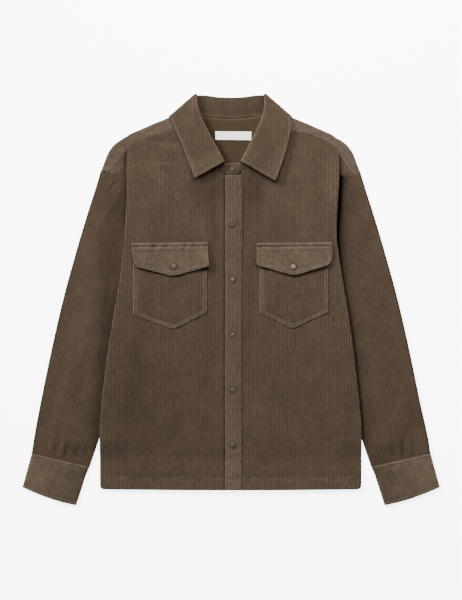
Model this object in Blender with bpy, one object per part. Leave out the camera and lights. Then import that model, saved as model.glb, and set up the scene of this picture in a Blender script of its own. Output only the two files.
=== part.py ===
"""Corduroy overshirt laid flat, face up, with its arms at its sides.

The cloth lies on z = 0.  +Y points to the collar, +Z to the viewer, and the wearer's
right side is at -X.  Each cut piece is a net of points on the middle of its cloth,
thickened to a wall.  Sizes are in millimetres and become metres in the mesh.
"""
import math

import bpy
import bmesh

MM = 0.001

# ---------------------------------------------------------------- driving sizes, mm
CLOTH = 1.6            # thickness of the corduroy
SEAM = 0.3             # gap between pieces that are sewn together
STEP = CLOTH + SEAM    # from the middle of one layer to the middle of the next
HALF = CLOTH / 2

HEM_Y = -357.5         # where the hem turns, a cloth and a half above the edge
HEM_TURN = 20.0        # hem turned up inside
YOKE_BACK_Y = 226.0    # back yoke seam, level with the armhole seams at the fold
CENTRE_SEAM_X = 20.3   # where the front band is sewn to the left front
BAND_LEFT_X = 22.0
BAND_RIGHT_X = -10.3   # free edge of the front band
FRONT_NECK_Y = 235.6   # neck seam at the centre front

SLEEVE_HIGH = 4.2      # height of a flattened sleeve where the body lies on it
BODY_LIFT = SLEEVE_HIGH + SEAM
TUCK_SLOPE = 45.0      # width of the ramp from the sleeve down to the table
TUCK_CLEAR = 9.0       # flat run between the sleeve's inner edge and the ramp

TUCK_MIN = 14.0        # least width of the body that lies on the sleeve
TUCK_END_Y = -308.0    # the body lies on the table below here
TUCK_FALL = 44.0       # height over which it comes down

FOLD_TOP_Y = 286.0     # the side fold starts here, at the front yoke seam
COLLAR_LIFT = STEP     # the back of the collar lies under the yoke
COLLAR_REACH = 117.0   # half width of the back of the collar
COLLAR_LOW_Y = 307.0   # its lower edge at the centre, and how far it rises sideways
COLLAR_RISE = 38.0
COLLAR_FLAT = 10.0     # the yoke stays flat this far below it, then falls
COLLAR_FALL = 45.0

CHEST_AIR = 1.1        # extra room between front and back over the chest
NECK_AIR = 2.6         # and round the neck, where the collar folds
NECK_AIR_Y = 310.0
NECK_AIR_REACH = 135.0
LAYER_AIR = 0.25       # everywhere

# ---------------------------------------------------------------- short tables, mm
# Side edge of the body, measured from the centre line.
SIDE_EDGE = [
    # y, wearer's right, wearer's left
    (-357.5, 246.5, 247.5),
    (-235.0, 246.8, 248.0),
    (-136.0, 238.0, 240.0),
    (-54.0, 226.5, 229.5),
    (5.0, 216.5, 219.5),
    (54.0, 209.0, 211.5),
    (113.0, 202.5, 204.5),
    (190.0, 197.5, 204.5),
    (246.0, 196.5, 206.0),
    (286.0, 195.5, 203.5),
    (315.0, 195.0, 201.0),
]

# Shoulder fold of the yoke, then the same thread's end on the front and back seams.
YOKE_THREADS = [
    # fold x, fold y, front seam x, front seam y, back seam x
    (88.0, 357.0, 71.5, 331.6, 82.0),
    (102.0, 350.6, 92.0, 327.0, 100.0),
    (119.0, 343.2, 115.0, 321.0, 119.0),
    (147.0, 332.0, 146.0, 312.5, 146.0),
    (172.0, 321.0, 170.0, 305.0, 168.0),
]

# The threads of the yoke beyond the side fold, down to the shoulder tip.
TIP_THREADS = [
    # fold x, fold y, front seam x, front seam y, back seam x
    (219.0, 293.8, 209.5, 268.5, 214.0),
    (230.6, 279.0, 219.0, 254.0, 223.0),
    (238.4, 260.0, 228.5, 240.4, 233.0),
    (244.8, 243.6, 238.5, 237.4, 243.0),
]

# Armhole seam: a straight line from the shoulder tip inward.
TIP_X = 247.0
TIP_Y = 238.0
ARMHOLE_FALL = 0.237   # drop for each millimetre inward

# Sleeve stations from the armhole to the cuff seam.
SLEEVE = [
    # outer x, outer y, inner x, inner y, height
    (247.3, 237.0, 171.0, 218.6, 3.6),
    (254.6, 211.9, 171.5, 190.0, 4.2),
    (268.5, 169.0, 173.0, 147.0, 4.2),
    (289.8, 97.9, 179.0, 73.0, 4.2),
    (315.0, 6.7, 194.0, -18.0, 4.2),
    (336.3, -84.6, 210.0, -110.0, 4.2),
    (355.3, -175.8, 228.0, -202.0, 4.2),
    (367.0, -236.0, 247.0, -260.0, 4.2),
    (372.3, -266.0, 259.8, -288.0, 4.4),
    (375.8, -290.6, 271.6, -314.6, 4.6),
]

# Cuff stations from its seam to its lower edge.
CUFF = [
    # outer x, outer y, inner x, inner y, bulge of the edge
    (376.0, -291.2, 271.9, -315.4, 0.0),
    (379.8, -305.0, 277.0, -331.0, -0.8),
    (386.8, -330.5, 286.5, -361.0, -2.0),
    (393.3, -354.4, 295.3, -387.5, -3.2),
]


# ---------------------------------------------------------------- small helpers
def smooth(value):
    """Eases from 0 to 1, and stays at 0 or 1 outside."""
    t = min(1.0, max(0.0, value))
    return t * t * (3.0 - 2.0 * t)


def mix(a, b, t):
    """The value a share t of the way from a to b."""
    return a + (b - a) * t


def read(table, column, at, key=0):
    """Smooth curve through one column of a table, read where its key column is at."""
    rows = sorted(table, key=lambda row: row[key])
    keys = [row[key] for row in rows]
    values = [row[column] for row in rows]
    if at <= keys[0]:
        return values[0]
    if at >= keys[-1]:
        return values[-1]
    last = len(rows) - 1
    i = max(n for n in range(last) if keys[n] <= at)
    slopes = []
    for n in (i, i + 1):
        low = max(n - 1, 0)
        high = min(n + 1, last)
        slopes.append((values[high] - values[low]) / (keys[high] - keys[low]))
    span = keys[i + 1] - keys[i]
    t = (at - keys[i]) / span
    return (
        (2 * t**3 - 3 * t**2 + 1) * values[i]
        + (t**3 - 2 * t**2 + t) * span * slopes[0]
        + (3 * t**2 - 2 * t**3) * values[i + 1]
        + (t**3 - t**2) * span * slopes[1]
    )


def side_edge(y, side):
    """Distance of the body's side edge from the centre line; side is -1 or +1."""
    return read(SIDE_EDGE, 1 if side < 0 else 2, y)


def armhole_y(x):
    """Height of the armhole seam at a distance x from the centre line."""
    return TIP_Y - ARMHOLE_FALL * (TIP_X - x)


def sleeve_inner(y):
    """Distance of the tucked sleeve's inner edge from the centre line."""
    return read(SLEEVE, 2, y, key=3)


def tuck_line(y, side):
    """Where the body starts to lie on the sleeve, kept inside the side edge."""
    return min(sleeve_inner(y), side_edge(y, side) - TUCK_MIN)


def fall_distance(x, y):
    """How far a point lies below the back of the collar, which lifts the yoke."""
    if abs(x) <= COLLAR_REACH:
        return max(0.0, COLLAR_LOW_Y + COLLAR_RISE * (x / COLLAR_REACH) ** 2 - y)
    return math.hypot(abs(x) - COLLAR_REACH, max(0.0, COLLAR_LOW_Y + COLLAR_RISE - y))


def side_lift(x, y, side):
    """How far the sleeve under it lifts the body's side."""
    along = smooth((FOLD_TOP_Y - y) / (FOLD_TOP_Y - YOKE_BACK_Y - 2.0))
    along *= smooth((y - TUCK_END_Y) / TUCK_FALL)
    ramp_top = tuck_line(y, side) - TUCK_CLEAR
    across = smooth((abs(x) - ramp_top + TUCK_SLOPE) / TUCK_SLOPE)
    return BODY_LIFT * along * across


def neck_lift(x, y):
    """How far the back of the collar lifts the yoke above it."""
    return COLLAR_LIFT * smooth(1.0 - (fall_distance(x, y) - COLLAR_FLAT) / COLLAR_FALL)


def back_z(x, y, outboard=False):
    """Middle of the back layer; outboard points lie beyond the side fold."""
    side = -1 if x < 0 else 1
    lift = 0.0 if outboard else side_lift(x, y, side)
    return HALF + max(lift, neck_lift(x, y))


def air(x, y):
    """Room between the back layer and the front one."""
    hem = 2.0 * STEP * smooth((HEM_Y + HEM_TURN + 42.0 - y) / 40.0)
    chest = CHEST_AIR * smooth((y + 300.0) / 120.0) * smooth((YOKE_BACK_Y - y) / 90.0)
    chest *= math.sin(math.pi * min(1.0, abs(x) / 200.0)) ** 2
    neck = NECK_AIR * smooth((NECK_AIR_REACH - math.hypot(x, y - NECK_AIR_Y)) / 75.0)
    return hem + max(chest, neck) + LAYER_AIR


def front_z(x, y, outboard=False):
    """Middle of the front layer."""
    return back_z(x, y, outboard) + STEP + air(x, y)


# ---------------------------------------------------------------- walls
CORDUROY = ((0.105, 0.075, 0.051), 0.9, 0.0)   # colour, roughness, metallic
NICKEL = ((0.42, 0.36, 0.29), 0.35, 1.0)
LABEL_TAPE = ((0.86, 0.85, 0.82), 0.8, 0.0)

CRISP_ANGLE = 40.0     # edges sharper than this stay crisp
WELD = 0.02            # points closer than this are one point


def plain_material(name, colour, roughness, metallic):
    """A plain material with the piece's colour."""
    material = bpy.data.materials.new(name)
    material.use_nodes = True
    shader = material.node_tree.nodes["Principled BSDF"]
    shader.inputs["Base Color"].default_value = (*colour, 1.0)
    shader.inputs["Roughness"].default_value = roughness
    shader.inputs["Metallic"].default_value = metallic
    return material


class Net:
    """Middle surface of one cut piece: a net of points and its faces."""

    def __init__(self):
        self.points = []
        self.faces = []

    def add(self, rows, keep=None):
        """Adds rows of points; keep(row, column) says which four-sided faces exist."""
        start = len(self.points)
        width = len(rows[0])
        for row in rows:
            self.points.extend(row)
        for r in range(len(rows) - 1):
            for c in range(width - 1):
                if keep is None or keep(r, c):
                    a = start + r * width + c
                    self.faces.append((a, a + 1, a + 1 + width, a + width))

    def add_ring(self, rings):
        """Adds closed rings of points, one after the other along a tube."""
        start = len(self.points)
        width = len(rings[0])
        for ring in rings:
            self.points.extend(ring)
        for r in range(len(rings) - 1):
            for c in range(width):
                a = start + r * width
                b = (c + 1) % width
                self.faces.append((a + c, a + b, a + b + width, a + c + width))


def finish_mesh(name, mesh, finish):
    """Makes an object of a mesh, with its own material and crisp edges."""
    mesh_object = bpy.data.objects.new(name, mesh)
    mesh_object.data.materials.append(plain_material(name, *finish))
    mesh_object.data.shade_smooth()
    mesh_object.data.set_sharp_from_angle(angle=math.radians(CRISP_ANGLE))
    bpy.context.scene.collection.objects.link(mesh_object)
    return mesh_object


def wall(name, net, thickness=CLOTH, finish=CORDUROY):
    """Makes a closed wall of cloth round a net of points."""
    mesh = bpy.data.meshes.new(name)
    mesh.from_pydata([(x * MM, y * MM, z * MM) for x, y, z in net.points], [], net.faces)
    work = bmesh.new()
    work.from_mesh(mesh)
    bmesh.ops.remove_doubles(work, verts=work.verts, dist=WELD * MM)
    loose = [vert for vert in work.verts if not vert.link_faces]
    bmesh.ops.delete(work, geom=loose, context="VERTS")
    bmesh.ops.recalc_face_normals(work, faces=work.faces)
    work.to_mesh(mesh)
    work.free()
    piece = finish_mesh(name, mesh, finish)
    solid = piece.modifiers.new("wall", "SOLIDIFY")
    solid.thickness = thickness * MM
    solid.offset = 0.0
    solid.use_even_offset = True
    solid.use_quality_normals = True
    return piece


def turned_edge(row_edge, row_inside, turn, up):
    """Rows of a turned hem: round the edge, then back inside by turn.

    up is +1 where the hem is turned over the panel's upper side, and -1 below it.
    """
    radius = STEP / 2
    rows = []
    for angle in (60.0, 120.0):
        lean = math.radians(angle)
        rows.append([
            (x, y - radius * math.sin(lean), z + up * radius * (1.0 - math.cos(lean)))
            for x, y, z in row_edge
        ])
    rows.append([(x, y, z + up * STEP) for x, y, z in row_edge])
    rows.append([(x, row_edge[0][1] + turn, z + up * STEP) for x, y, z in row_inside])
    return rows


# ---------------------------------------------------------------- body panels
LIP = 1.8              # radius of the rolled side edge
BACK_INSET = 2.4       # the back panel ends inside the front's rolled edge
STEP_INSET = STEP + HALF + 0.1
YOKE_STEP_RADIUS = 1.0

# Columns of a front panel, where they meet the neck and the yoke seam.  The right front
# reaches under the band, past the centre line.
OUTER_TOP_X = [57.0, 71.5, 92.0, 115.0, 146.0, 170.0, 184.0]
FRONT_TOP_X = {
    -1: [SEAM - CENTRE_SEAM_X, 10.9, 24.0, 37.0] + OUTER_TOP_X,
    1: [CENTRE_SEAM_X, 24.0, 30.0, 37.0] + OUTER_TOP_X,
}
COLUMNS = len(FRONT_TOP_X[1])
RAMP_FOOT = FRONT_TOP_X[1].index(115.0)

BACK_COLUMNS = [3, 6, 7, 8, 9, 10]   # the back panel needs fewer

# Neck edge of a front, straight from point to point, then its yoke seam.
NECK_SEAM = [
    # x, y
    (10.9, FRONT_NECK_Y),
    (37.0, 254.0),
    (57.0, 304.5),
    (71.5, 331.6),
]
YOKE_SEAM = [
    # x, y
    (71.5, 331.6),
    (92.0, 327.0),
    (115.0, 321.0),
    (146.0, 312.5),
    (170.0, 305.0),
    (184.0, 298.8),
    (199.0, 284.5),
]

# Heights of the front's rows where they cross the side edge.
FOLD_ROWS = [
    HEM_Y, HEM_Y + HEM_TURN, TUCK_END_Y, TUCK_END_Y + TUCK_FALL, -215.0, -150.0, -85.0, -20.0, 45.0, 105.0,
    160.0, 200.0, 222.0, 228.4, 233.0, 258.0, 284.5,
]
TAB_ROW = FOLD_ROWS.index(233.0)
FOLD_END_Y = FOLD_ROWS[-1]
TAB_TIP_X = 231.5      # lower outer corner of the part beyond the fold
TAB_GAP = 2.0          # from the fold to that part


def front_top(x):
    """Upper edge of a front panel at a distance x from the centre line."""
    if x > YOKE_SEAM[0][0]:
        return read(YOKE_SEAM, 1, x)
    for (low_x, low_y), (high_x, high_y) in zip(NECK_SEAM, NECK_SEAM[1:]):
        if x <= high_x:
            return mix(low_y, high_y, max(0.0, (x - low_x) / (high_x - low_x)))
    return YOKE_SEAM[0][1]


def panel_columns(y, side):
    """Distances from the centre line of a panel's columns, up to its rolled edge."""
    ramp_foot = tuck_line(y, side) - TUCK_CLEAR - TUCK_SLOPE
    ramp_top = ramp_foot + TUCK_SLOPE
    edge = side_edge(y, side) - HALF - LIP
    settle = smooth((285.0 - y) / 75.0)
    columns = []
    for index, top_x in enumerate(FRONT_TOP_X[side]):
        if index <= RAMP_FOOT:
            low_x = mix(FRONT_TOP_X[side][0], ramp_foot, index / RAMP_FOOT)
        else:
            low_x = [mix(ramp_foot, ramp_top, 0.5), ramp_top, mix(ramp_top, edge, 0.5)][
                index - RAMP_FOOT - 1
            ]
        columns.append(mix(top_x, low_x, settle))
    return columns + [edge]


def front_row(fold_y, side):
    """One row of a front panel, from its centre edge to where the side edge rolls."""
    share = (fold_y - HEM_Y) / (FOLD_END_Y - HEM_Y)
    row = []
    for index, x in enumerate(panel_columns(fold_y, side)[:COLUMNS]):
        top = front_top(FRONT_TOP_X[side][index]) - SEAM
        y = mix(HEM_Y, top, share)
        row.append((side * x, y, front_z(side * x, y)))
    return row


def rolled_edge(fold_y, side):
    """The side edge: over the top, round, and down to the sleeve, table or armhole part."""
    edge = side_edge(fold_y, side)
    high = front_z(side * (edge - HALF - LIP), fold_y)
    if fold_y >= FOLD_ROWS[TAB_ROW]:
        low = front_z(side * edge, fold_y, outboard=True)
        radius = min(LIP, (high - low) / 2)
    else:
        low = back_z(side * (edge - HALF), fold_y) - HALF
        radius = LIP
    points = [(side * (edge - HALF - radius), fold_y, high)]
    for angle in (45.0, 90.0):
        lean = math.radians(angle)
        x = edge - HALF - radius * (1.0 - math.sin(lean))
        points.append((side * x, fold_y, high - radius * (1.0 - math.cos(lean))))
    points.append((side * (edge - HALF), fold_y, low))
    return points


def build_front(name, side):
    """A front panel: main part, rolled side edge, turned hem and part beyond the fold."""
    net = Net()
    rows = [front_row(y, side) + rolled_edge(y, side) for y in FOLD_ROWS]
    net.add(rows)
    edge_row = rows[0][:COLUMNS]
    net.add([edge_row] + turned_edge(edge_row, rows[1][:COLUMNS], HEM_TURN, -1))

    for r in range(TAB_ROW, len(FOLD_ROWS) - 1):
        net.add([tab_row(rows[row][-1], row, side) for row in (r, r + 1)])
    return wall(name, net)


def tab_row(inner, row, side):
    """One row of the front beyond the side fold, from the fold out to the tip."""
    share = (row - TAB_ROW) / (len(FOLD_ROWS) - 1 - TAB_ROW)
    start_x = side_edge(FOLD_ROWS[TAB_ROW], side) + TAB_GAP
    points = [inner]
    for step, thread in enumerate(TIP_THREADS[:2], start=1):
        low_x = mix(start_x, TAB_TIP_X, step / 3.0)
        x = mix(low_x, thread[2], share)
        y = mix(armhole_y(low_x) + SEAM, thread[3] - SEAM, share)
        points.append((side * x, y, front_z(side * x, y, outboard=True)))
    tip_y = armhole_y(TAB_TIP_X) + SEAM
    points.append((side * TAB_TIP_X, tip_y, front_z(side * TAB_TIP_X, tip_y, outboard=True)))
    return points


def back_row(y):
    """One row of the back panel, from side edge to side edge."""
    halves = []
    for side in (-1, 1):
        columns = panel_columns(y, side)
        columns = [columns[n] for n in BACK_COLUMNS] + [side_edge(y, side) - BACK_INSET]
        halves.append([(side * x, y, back_z(side * x, y)) for x in columns])
    middle = [(0.0, y, back_z(0.0, y))]
    return halves[0][::-1] + middle + halves[1]


def build_back():
    """The back panel with its turned hem."""
    heights = [y for y in FOLD_ROWS if y < YOKE_BACK_Y - 1.0] + [YOKE_BACK_Y - SEAM]
    net = Net()
    rows = [back_row(y) for y in heights]
    net.add(rows)
    edge_row = rows[0][1:-1]
    net.add([edge_row] + turned_edge(edge_row, rows[1][1:-1], HEM_TURN, 1))
    return wall("back", net)


# ---------------------------------------------------------------- yoke
BACK_NECK_Y = 342.0    # neck seam at the centre back
NECK_SHARES = [0.0, 0.25, 0.5, 0.75, 1.0]
YOKE_NECK_X = [0.0, 22.0, 44.0, 66.0]
NECK_RISE = 15.0       # the back neck seam is higher at its ends by this
NECK_HALF = 88.0       # half its width

# The thread nearest the side fold, inside it, and the space between the fold's threads.
FOLD_THREAD = (186.0, 315.2, 184.0, 298.8 + SEAM, 183.0, False)
STEP_SPREAD = 2.0
STEP_TOP_Y = 270.0     # where the fold's threads start to spread


def back_neck_y(x):
    """Height of the back neck seam."""
    return BACK_NECK_Y + NECK_RISE * (x / NECK_HALF) ** 2


def outward(points, index):
    """Outward direction, in plan, of a line of points that runs away from the neck."""
    before = points[max(index - 1, 0)]
    after = points[min(index + 1, len(points) - 1)]
    run_x = after[0] - before[0]
    run_y = after[1] - before[1]
    length = math.hypot(run_x, run_y)
    return -run_y / length, run_x / length


def step_point(y, side, position):
    """A point of the small step down beyond the side fold; position is -1, 0 or 1."""
    fold_x = side_edge(y, side) - STEP_INSET
    high = back_z(side * (fold_x - STEP_SPREAD), y)
    flat = back_z(side * fold_x, y, outboard=True)
    radius = min(YOKE_STEP_RADIUS, (high - flat) / 2)
    x = fold_x + position * min(1.0, max(0.0, (y - STEP_TOP_Y) / 20.0))
    if position < 0:
        return (side * (x - radius), y, high)
    if position == 0:
        return (side * x, y, high - radius)
    return (side * x, y, flat)


def yoke_threads(side):
    """All threads of one half: inside the side fold, round its step, and beyond it."""
    inner = [(*row, False) for row in YOKE_THREADS] + [FOLD_THREAD]
    outer = [(*row, True) for row in TIP_THREADS]
    seam = (side_edge(FOLD_END_Y, side) - HALF, FOLD_END_Y + SEAM)
    middle_x = side_edge(FOLD_TOP_Y, side) - STEP_INSET
    steps = []
    for position in (-1, 0, 1):
        x = middle_x + 1.0 + position * STEP_SPREAD
        steps.append((x, read(inner + outer, 1, x), *seam, x, position > 0))
    return inner, steps, outer


def yoke_column(thread, away, side, low_y, position):
    """One thread, from the back seam up to the shoulder fold, round it and down."""
    fold_x, fold_y, seam_x, seam_y, back_x, outboard = thread
    depth = (STEP + air(side * fold_x, fold_y)) / 2 + HALF
    end_x = fold_x - away[0] * depth
    end_y = fold_y - away[1] * depth
    points = []
    for share in NECK_SHARES:
        x = mix(back_x, end_x, share)
        y = mix(low_y, end_y, share)
        if position is None:
            points.append((side * x, y, back_z(side * x, y, outboard)))
        else:
            points.append(step_point(y, side, position))
    last_x, last_y, low_z = points[-1]
    high_z = low_z + STEP + air(side * fold_x, fold_y)
    radius = (high_z - low_z) / 2
    for angle in (45.0, 90.0, 135.0):
        lean = math.radians(angle)
        reach = radius * math.sin(lean)
        points.append((
            last_x + side * away[0] * reach,
            last_y + away[1] * reach,
            low_z + radius * (1.0 - math.cos(lean)),
        ))
    points.append((last_x, last_y, high_z))
    spread = 2.0 * SEAM if position is not None or outboard else SEAM
    seam_z = front_z(side * seam_x, seam_y, outboard)
    points.append((side * (seam_x + spread), seam_y + SEAM, seam_z))
    return points


def yoke_half(side):
    """Columns of one half of the yoke, each a list of points from back seam to front."""
    columns = []
    for x in YOKE_NECK_X:
        top = back_neck_y(x) - SEAM
        line = [(side * x, mix(YOKE_BACK_Y, top, s)) for s in NECK_SHARES]
        columns.append([(px, py, back_z(px, py)) for px, py in line])

    inner, steps, outer = yoke_threads(side)
    threads = inner + steps + outer
    folds = [(thread[0], thread[1]) for thread in threads]
    for index, thread in enumerate(threads):
        position = None
        low_y = YOKE_BACK_Y
        if thread in steps:
            position = steps.index(thread) - 1
            low_y = armhole_y(side_edge(YOKE_BACK_Y, side)) + 2.0 * SEAM
        elif thread in outer:
            low_y = armhole_y(thread[4]) + SEAM
        columns.append(yoke_column(thread, outward(folds, index), side, low_y, position))
    return columns


def build_yoke():
    """The yoke: back part, shoulder folds and front strips in one piece."""
    net = Net()
    neck = len(YOKE_NECK_X)
    back_rows = len(NECK_SHARES)
    for side in (-1, 1):
        columns = yoke_half(side)
        full = max(len(column) for column in columns)
        padded = [column + [column[-1]] * (full - len(column)) for column in columns]
        rows = [[column[r] for column in padded] for r in range(full)]
        net.add(rows, keep=lambda r, c: r < back_rows - 1 or c >= neck)
    return wall("yoke", net)


# ---------------------------------------------------------------- sleeves and cuffs
CUFF_CLOTH = 2.2
CUFF_HIGH = 5.2
SLEEVE_CROWN = 2.4     # extra height of the part of a sleeve that lies in the open
OPEN_SHARE = 0.6       # that part's share of the sleeve's width
FLAT_SHARES = [0.0, 0.12, 0.3, 0.5, 0.7, 0.88, 1.0]


def tube_ring(outer, inner, height, thickness, side, crown=0.0, bulge=0.0):
    """One ring of a flattened tube that lies on the table between two plan points."""
    radius = (height - thickness) / 2
    run_x = inner[0] - outer[0]
    run_y = inner[1] - outer[1]
    width = math.hypot(run_x, run_y)
    run_x /= width
    run_y /= width
    inset = radius + thickness / 2
    middle_z = height / 2

    def place(along, z):
        """A point of the ring, measured along it from its outer edge."""
        push = bulge * math.sin(math.pi * min(1.0, max(0.0, along / width)))
        x = outer[0] + run_x * along + run_y * push
        y = outer[1] + run_y * along - run_x * push
        return (side * x, y, z)

    ring = []
    for share in FLAT_SHARES:
        ring.append(place(mix(inset, width - inset, share), middle_z - radius))
    for angle in (45.0, 90.0, 135.0):
        lean = math.radians(angle)
        along = width - inset + radius * math.sin(lean)
        ring.append(place(along, middle_z - radius * math.cos(lean)))
    for share in reversed(FLAT_SHARES):
        rise = crown * math.sin(math.pi * min(1.0, share / OPEN_SHARE)) ** 2
        ring.append(place(mix(inset, width - inset, share), middle_z + radius + rise))
    for angle in (135.0, 90.0, 45.0):
        lean = math.radians(angle)
        along = inset - radius * math.sin(lean)
        ring.append(place(along, middle_z - radius * math.cos(lean)))
    return ring


def build_sleeve(name, side):
    """A sleeve: a flattened tube from the armhole to the cuff seam."""
    rings = []
    for index, (outer_x, outer_y, inner_x, inner_y, height) in enumerate(SLEEVE):
        share = index / (len(SLEEVE) - 1)
        crown = SLEEVE_CROWN * smooth(share * 5.0) * smooth((1.0 - share) * 6.0)
        rings.append(tube_ring((outer_x, outer_y), (inner_x, inner_y), height, CLOTH, side, crown))
    net = Net()
    net.add_ring(rings)
    return wall(name, net)


def build_cuff(name, side):
    """A cuff: a flattened tube of doubled cloth with a slightly curved lower edge."""
    rings = []
    for outer_x, outer_y, inner_x, inner_y, bulge in CUFF:
        rings.append(tube_ring(
            (outer_x, outer_y), (inner_x, inner_y), CUFF_HIGH, CUFF_CLOTH, side, 0.0, bulge,
        ))
    net = Net()
    net.add_ring(rings)
    return wall(name, net, CUFF_CLOTH)


# ---------------------------------------------------------------- front band
BAND_GAP = STEP + 0.1  # from the fronts' cloth to the band's


def build_front_band():
    """The band that is sewn to the left front and carries the snaps."""
    rows = []
    for fold_y in FOLD_ROWS[:-4] + [FOLD_END_Y]:
        share = (fold_y - HEM_Y) / (FOLD_END_Y - HEM_Y)
        y = mix(HEM_Y - 1.0, FRONT_NECK_Y - SEAM, share)
        z = front_z(0.0, mix(HEM_Y, FRONT_NECK_Y, share)) + BAND_GAP
        rows.append([(x, y, z) for x in (BAND_RIGHT_X, 0.0, 10.0, BAND_LEFT_X)])
    net = Net()
    net.add(rows)
    return wall("front_band", net)


# ---------------------------------------------------------------- collar and stand
COLLAR_CLOTH = 1.3
ROLL = 1.3             # radius of the roll over the stand, front
BACK_ROLL = STEP / 2   # and at the back, where it lies flat
BACK_ROLL_Y = 382.2    # top edge at the centre back
CORNER_X = 66.0        # corner between the roll and the side crease
CORNER_Y = 390.6
CREASE_END_X = 117.5   # outer end of the side crease
CREASE_END_Y = 345.9
STAND_TOP_Y = 257.5    # top of the stand between the leaves
BACK_EDGE_Y = 309.0    # lower edge of the collar at the centre back

LEAF = {
    # side: rows of roll x, roll y, outer edge x, outer edge y, lift of the edge
    -1: [
        (10.9, 261.0, 65.0, 231.2, 2.4),
        (31.0, 299.0, 80.5, 263.0, 1.2),
        (51.0, 337.0, 95.0, 299.0, 0.9),
        (61.5, 366.0, 108.0, 327.0, 0.9),
    ],
    1: [
        (18.2, 261.3, 84.7, 225.4, 2.4),
        (38.5, 300.0, 99.5, 262.0, 1.6),
        (56.0, 337.0, 109.5, 297.0, 1.2),
        (63.5, 366.0, 115.0, 327.0, 0.9),
    ],
}
LEAN_FRONT = 24.0      # the roll's direction at the front and at the shoulder
LEAN_SIDE = 38.0
NECK_OFFSET = 0.7      # from the neck seam's line to the stand's lower edge
LAP = STEP + 0.15      # the left end of the stand lies on the right one
LAP_END_X = 44.0       # and comes down to the left front over this
LAP_FALL = 20.0

SIDE_SEAM_X = 84.2     # neck seam under the side crease
SIDE_SEAM_Y = 358.6
STAND_END_X = {-1: (-10.9, 19.0), 1: (18.2, -9.4)}   # the leaf's edge, then the free end


def over_band(x):
    """Extra height of the left front's stand and leaf, which lap over the right's."""
    if x < 0.0:
        return 0.0
    return LAP * smooth((LAP_END_X - x) / LAP_FALL)


class RingColumn:
    """One place along the collar: its roll, its outer edge and its neck seam."""

    def __init__(self, stand, fall, up, seam, edge, lift=None):
        self.lift = lift
        self.stand = stand
        self.fall = fall
        self.up = up
        self.seam = seam
        self.edge = edge

    def collar_line(self):
        """Points from the seam at the roll, over it and down to the outer edge."""
        middle = [mix(a, b, 0.5) for a, b in zip(self.stand, self.fall)]
        half = [(b - a) / 2 for a, b in zip(self.stand, self.fall)]
        radius = math.sqrt(sum(value * value for value in half))
        line = []
        for angle in (0.0, 60.0, 120.0, 180.0):
            lean = math.radians(angle)
            line.append(tuple(
                middle[n] - math.cos(lean) * half[n] + math.sin(lean) * radius * self.up[n]
                for n in range(3)
            ))
        for share in (0.3, 0.65, 1.0):
            x, y, z = (mix(a, b, share) for a, b in zip(self.fall, self.edge))
            if self.lift is not None:
                room = mix(2.0 * ROLL, STEP + self.lift, share)
                z = front_z(x, y) + room + over_band(x)
            line.append((x, y, z))
        return line

    def stand_line(self):
        """Points from the neck seam up to the seam at the roll."""
        top = [value - 0.5 * part for value, part in zip(self.stand, self.up)]
        line = []
        for share in (0.0, 0.5, 1.0):
            x, y, z = (mix(a, b, share) for a, b in zip(self.seam, top))
            if self.lift is not None:
                z = front_z(x, y) + over_band(x)
            line.append((x, y, z))
        return line


def leaf_columns(side):
    """Ring columns of one leaf, from its front edge to just before the side crease."""
    columns = []
    rows = LEAF[side]
    for index, (roll_x, roll_y, edge_x, edge_y, lift) in enumerate(rows):
        lean = math.radians(mix(LEAN_FRONT, LEAN_SIDE, index / (len(rows) - 1)))
        up = (-side * math.cos(lean), math.sin(lean), 0.0)
        inset = ROLL + HALF
        x = side * roll_x - up[0] * inset
        y = roll_y - up[1] * inset
        seam_x, seam_y = NECK_SEAM[index]
        stand_z = front_z(x, y) + over_band(x)
        columns.append(RingColumn(
            (x, y, stand_z),
            (x, y, stand_z + 2.0 * ROLL),
            up,
            (side * seam_x + up[0] * NECK_OFFSET, seam_y + up[1] * NECK_OFFSET, stand_z),
            (side * edge_x, edge_y, 0.0),
            lift,
        ))
    return columns


def crease_columns(side):
    """Ring columns round the side crease, from the leaf to the back of the collar."""
    run_x = CREASE_END_X - CORNER_X
    run_y = CREASE_END_Y - CORNER_Y
    length = math.hypot(run_x, run_y)
    along = (run_x / length, run_y / length)
    away = (-along[1], along[0])
    stand_high = front_z(side * SIDE_SEAM_X, SIDE_SEAM_Y)
    stand_low = back_z(side * SIDE_SEAM_X, SIDE_SEAM_Y)
    fall_high = stand_high + 2.0 * ROLL
    fall_low = HALF
    fall_radius = (fall_high - fall_low) / 2
    stand_radius = (stand_high - stand_low) / 2
    inset = fall_radius + HALF
    columns = []
    for angle in (0.0, 45.0, 90.0, 135.0, 180.0):
        lean = math.radians(angle)
        out = math.sin(lean)
        roll = mix(ROLL, BACK_ROLL, angle / 180.0) + HALF
        corner_x = CORNER_X - away[0] * inset + along[0] * roll
        corner_y = CORNER_Y - away[1] * inset + along[1] * roll
        end_x = CREASE_END_X - away[0] * inset
        end_y = CREASE_END_Y - away[1] * inset
        fall_z = mix(fall_high, fall_low, 0.5) + fall_radius * math.cos(lean)
        stand_z = mix(stand_high, stand_low, 0.5) + stand_radius * math.cos(lean)
        fall_out = fall_radius * out
        stand_out = stand_radius * out
        columns.append(RingColumn(
            (side * (corner_x + away[0] * stand_out), corner_y + away[1] * stand_out, stand_z),
            (side * (corner_x + away[0] * fall_out), corner_y + away[1] * fall_out, fall_z),
            (-side * along[0], -along[1], 0.0),
            (
                side * (SIDE_SEAM_X + away[0] * stand_out),
                SIDE_SEAM_Y + away[1] * stand_out,
                stand_z,
            ),
            (side * (end_x + away[0] * fall_out), end_y + away[1] * fall_out, fall_z),
        ))
    return columns


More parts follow.
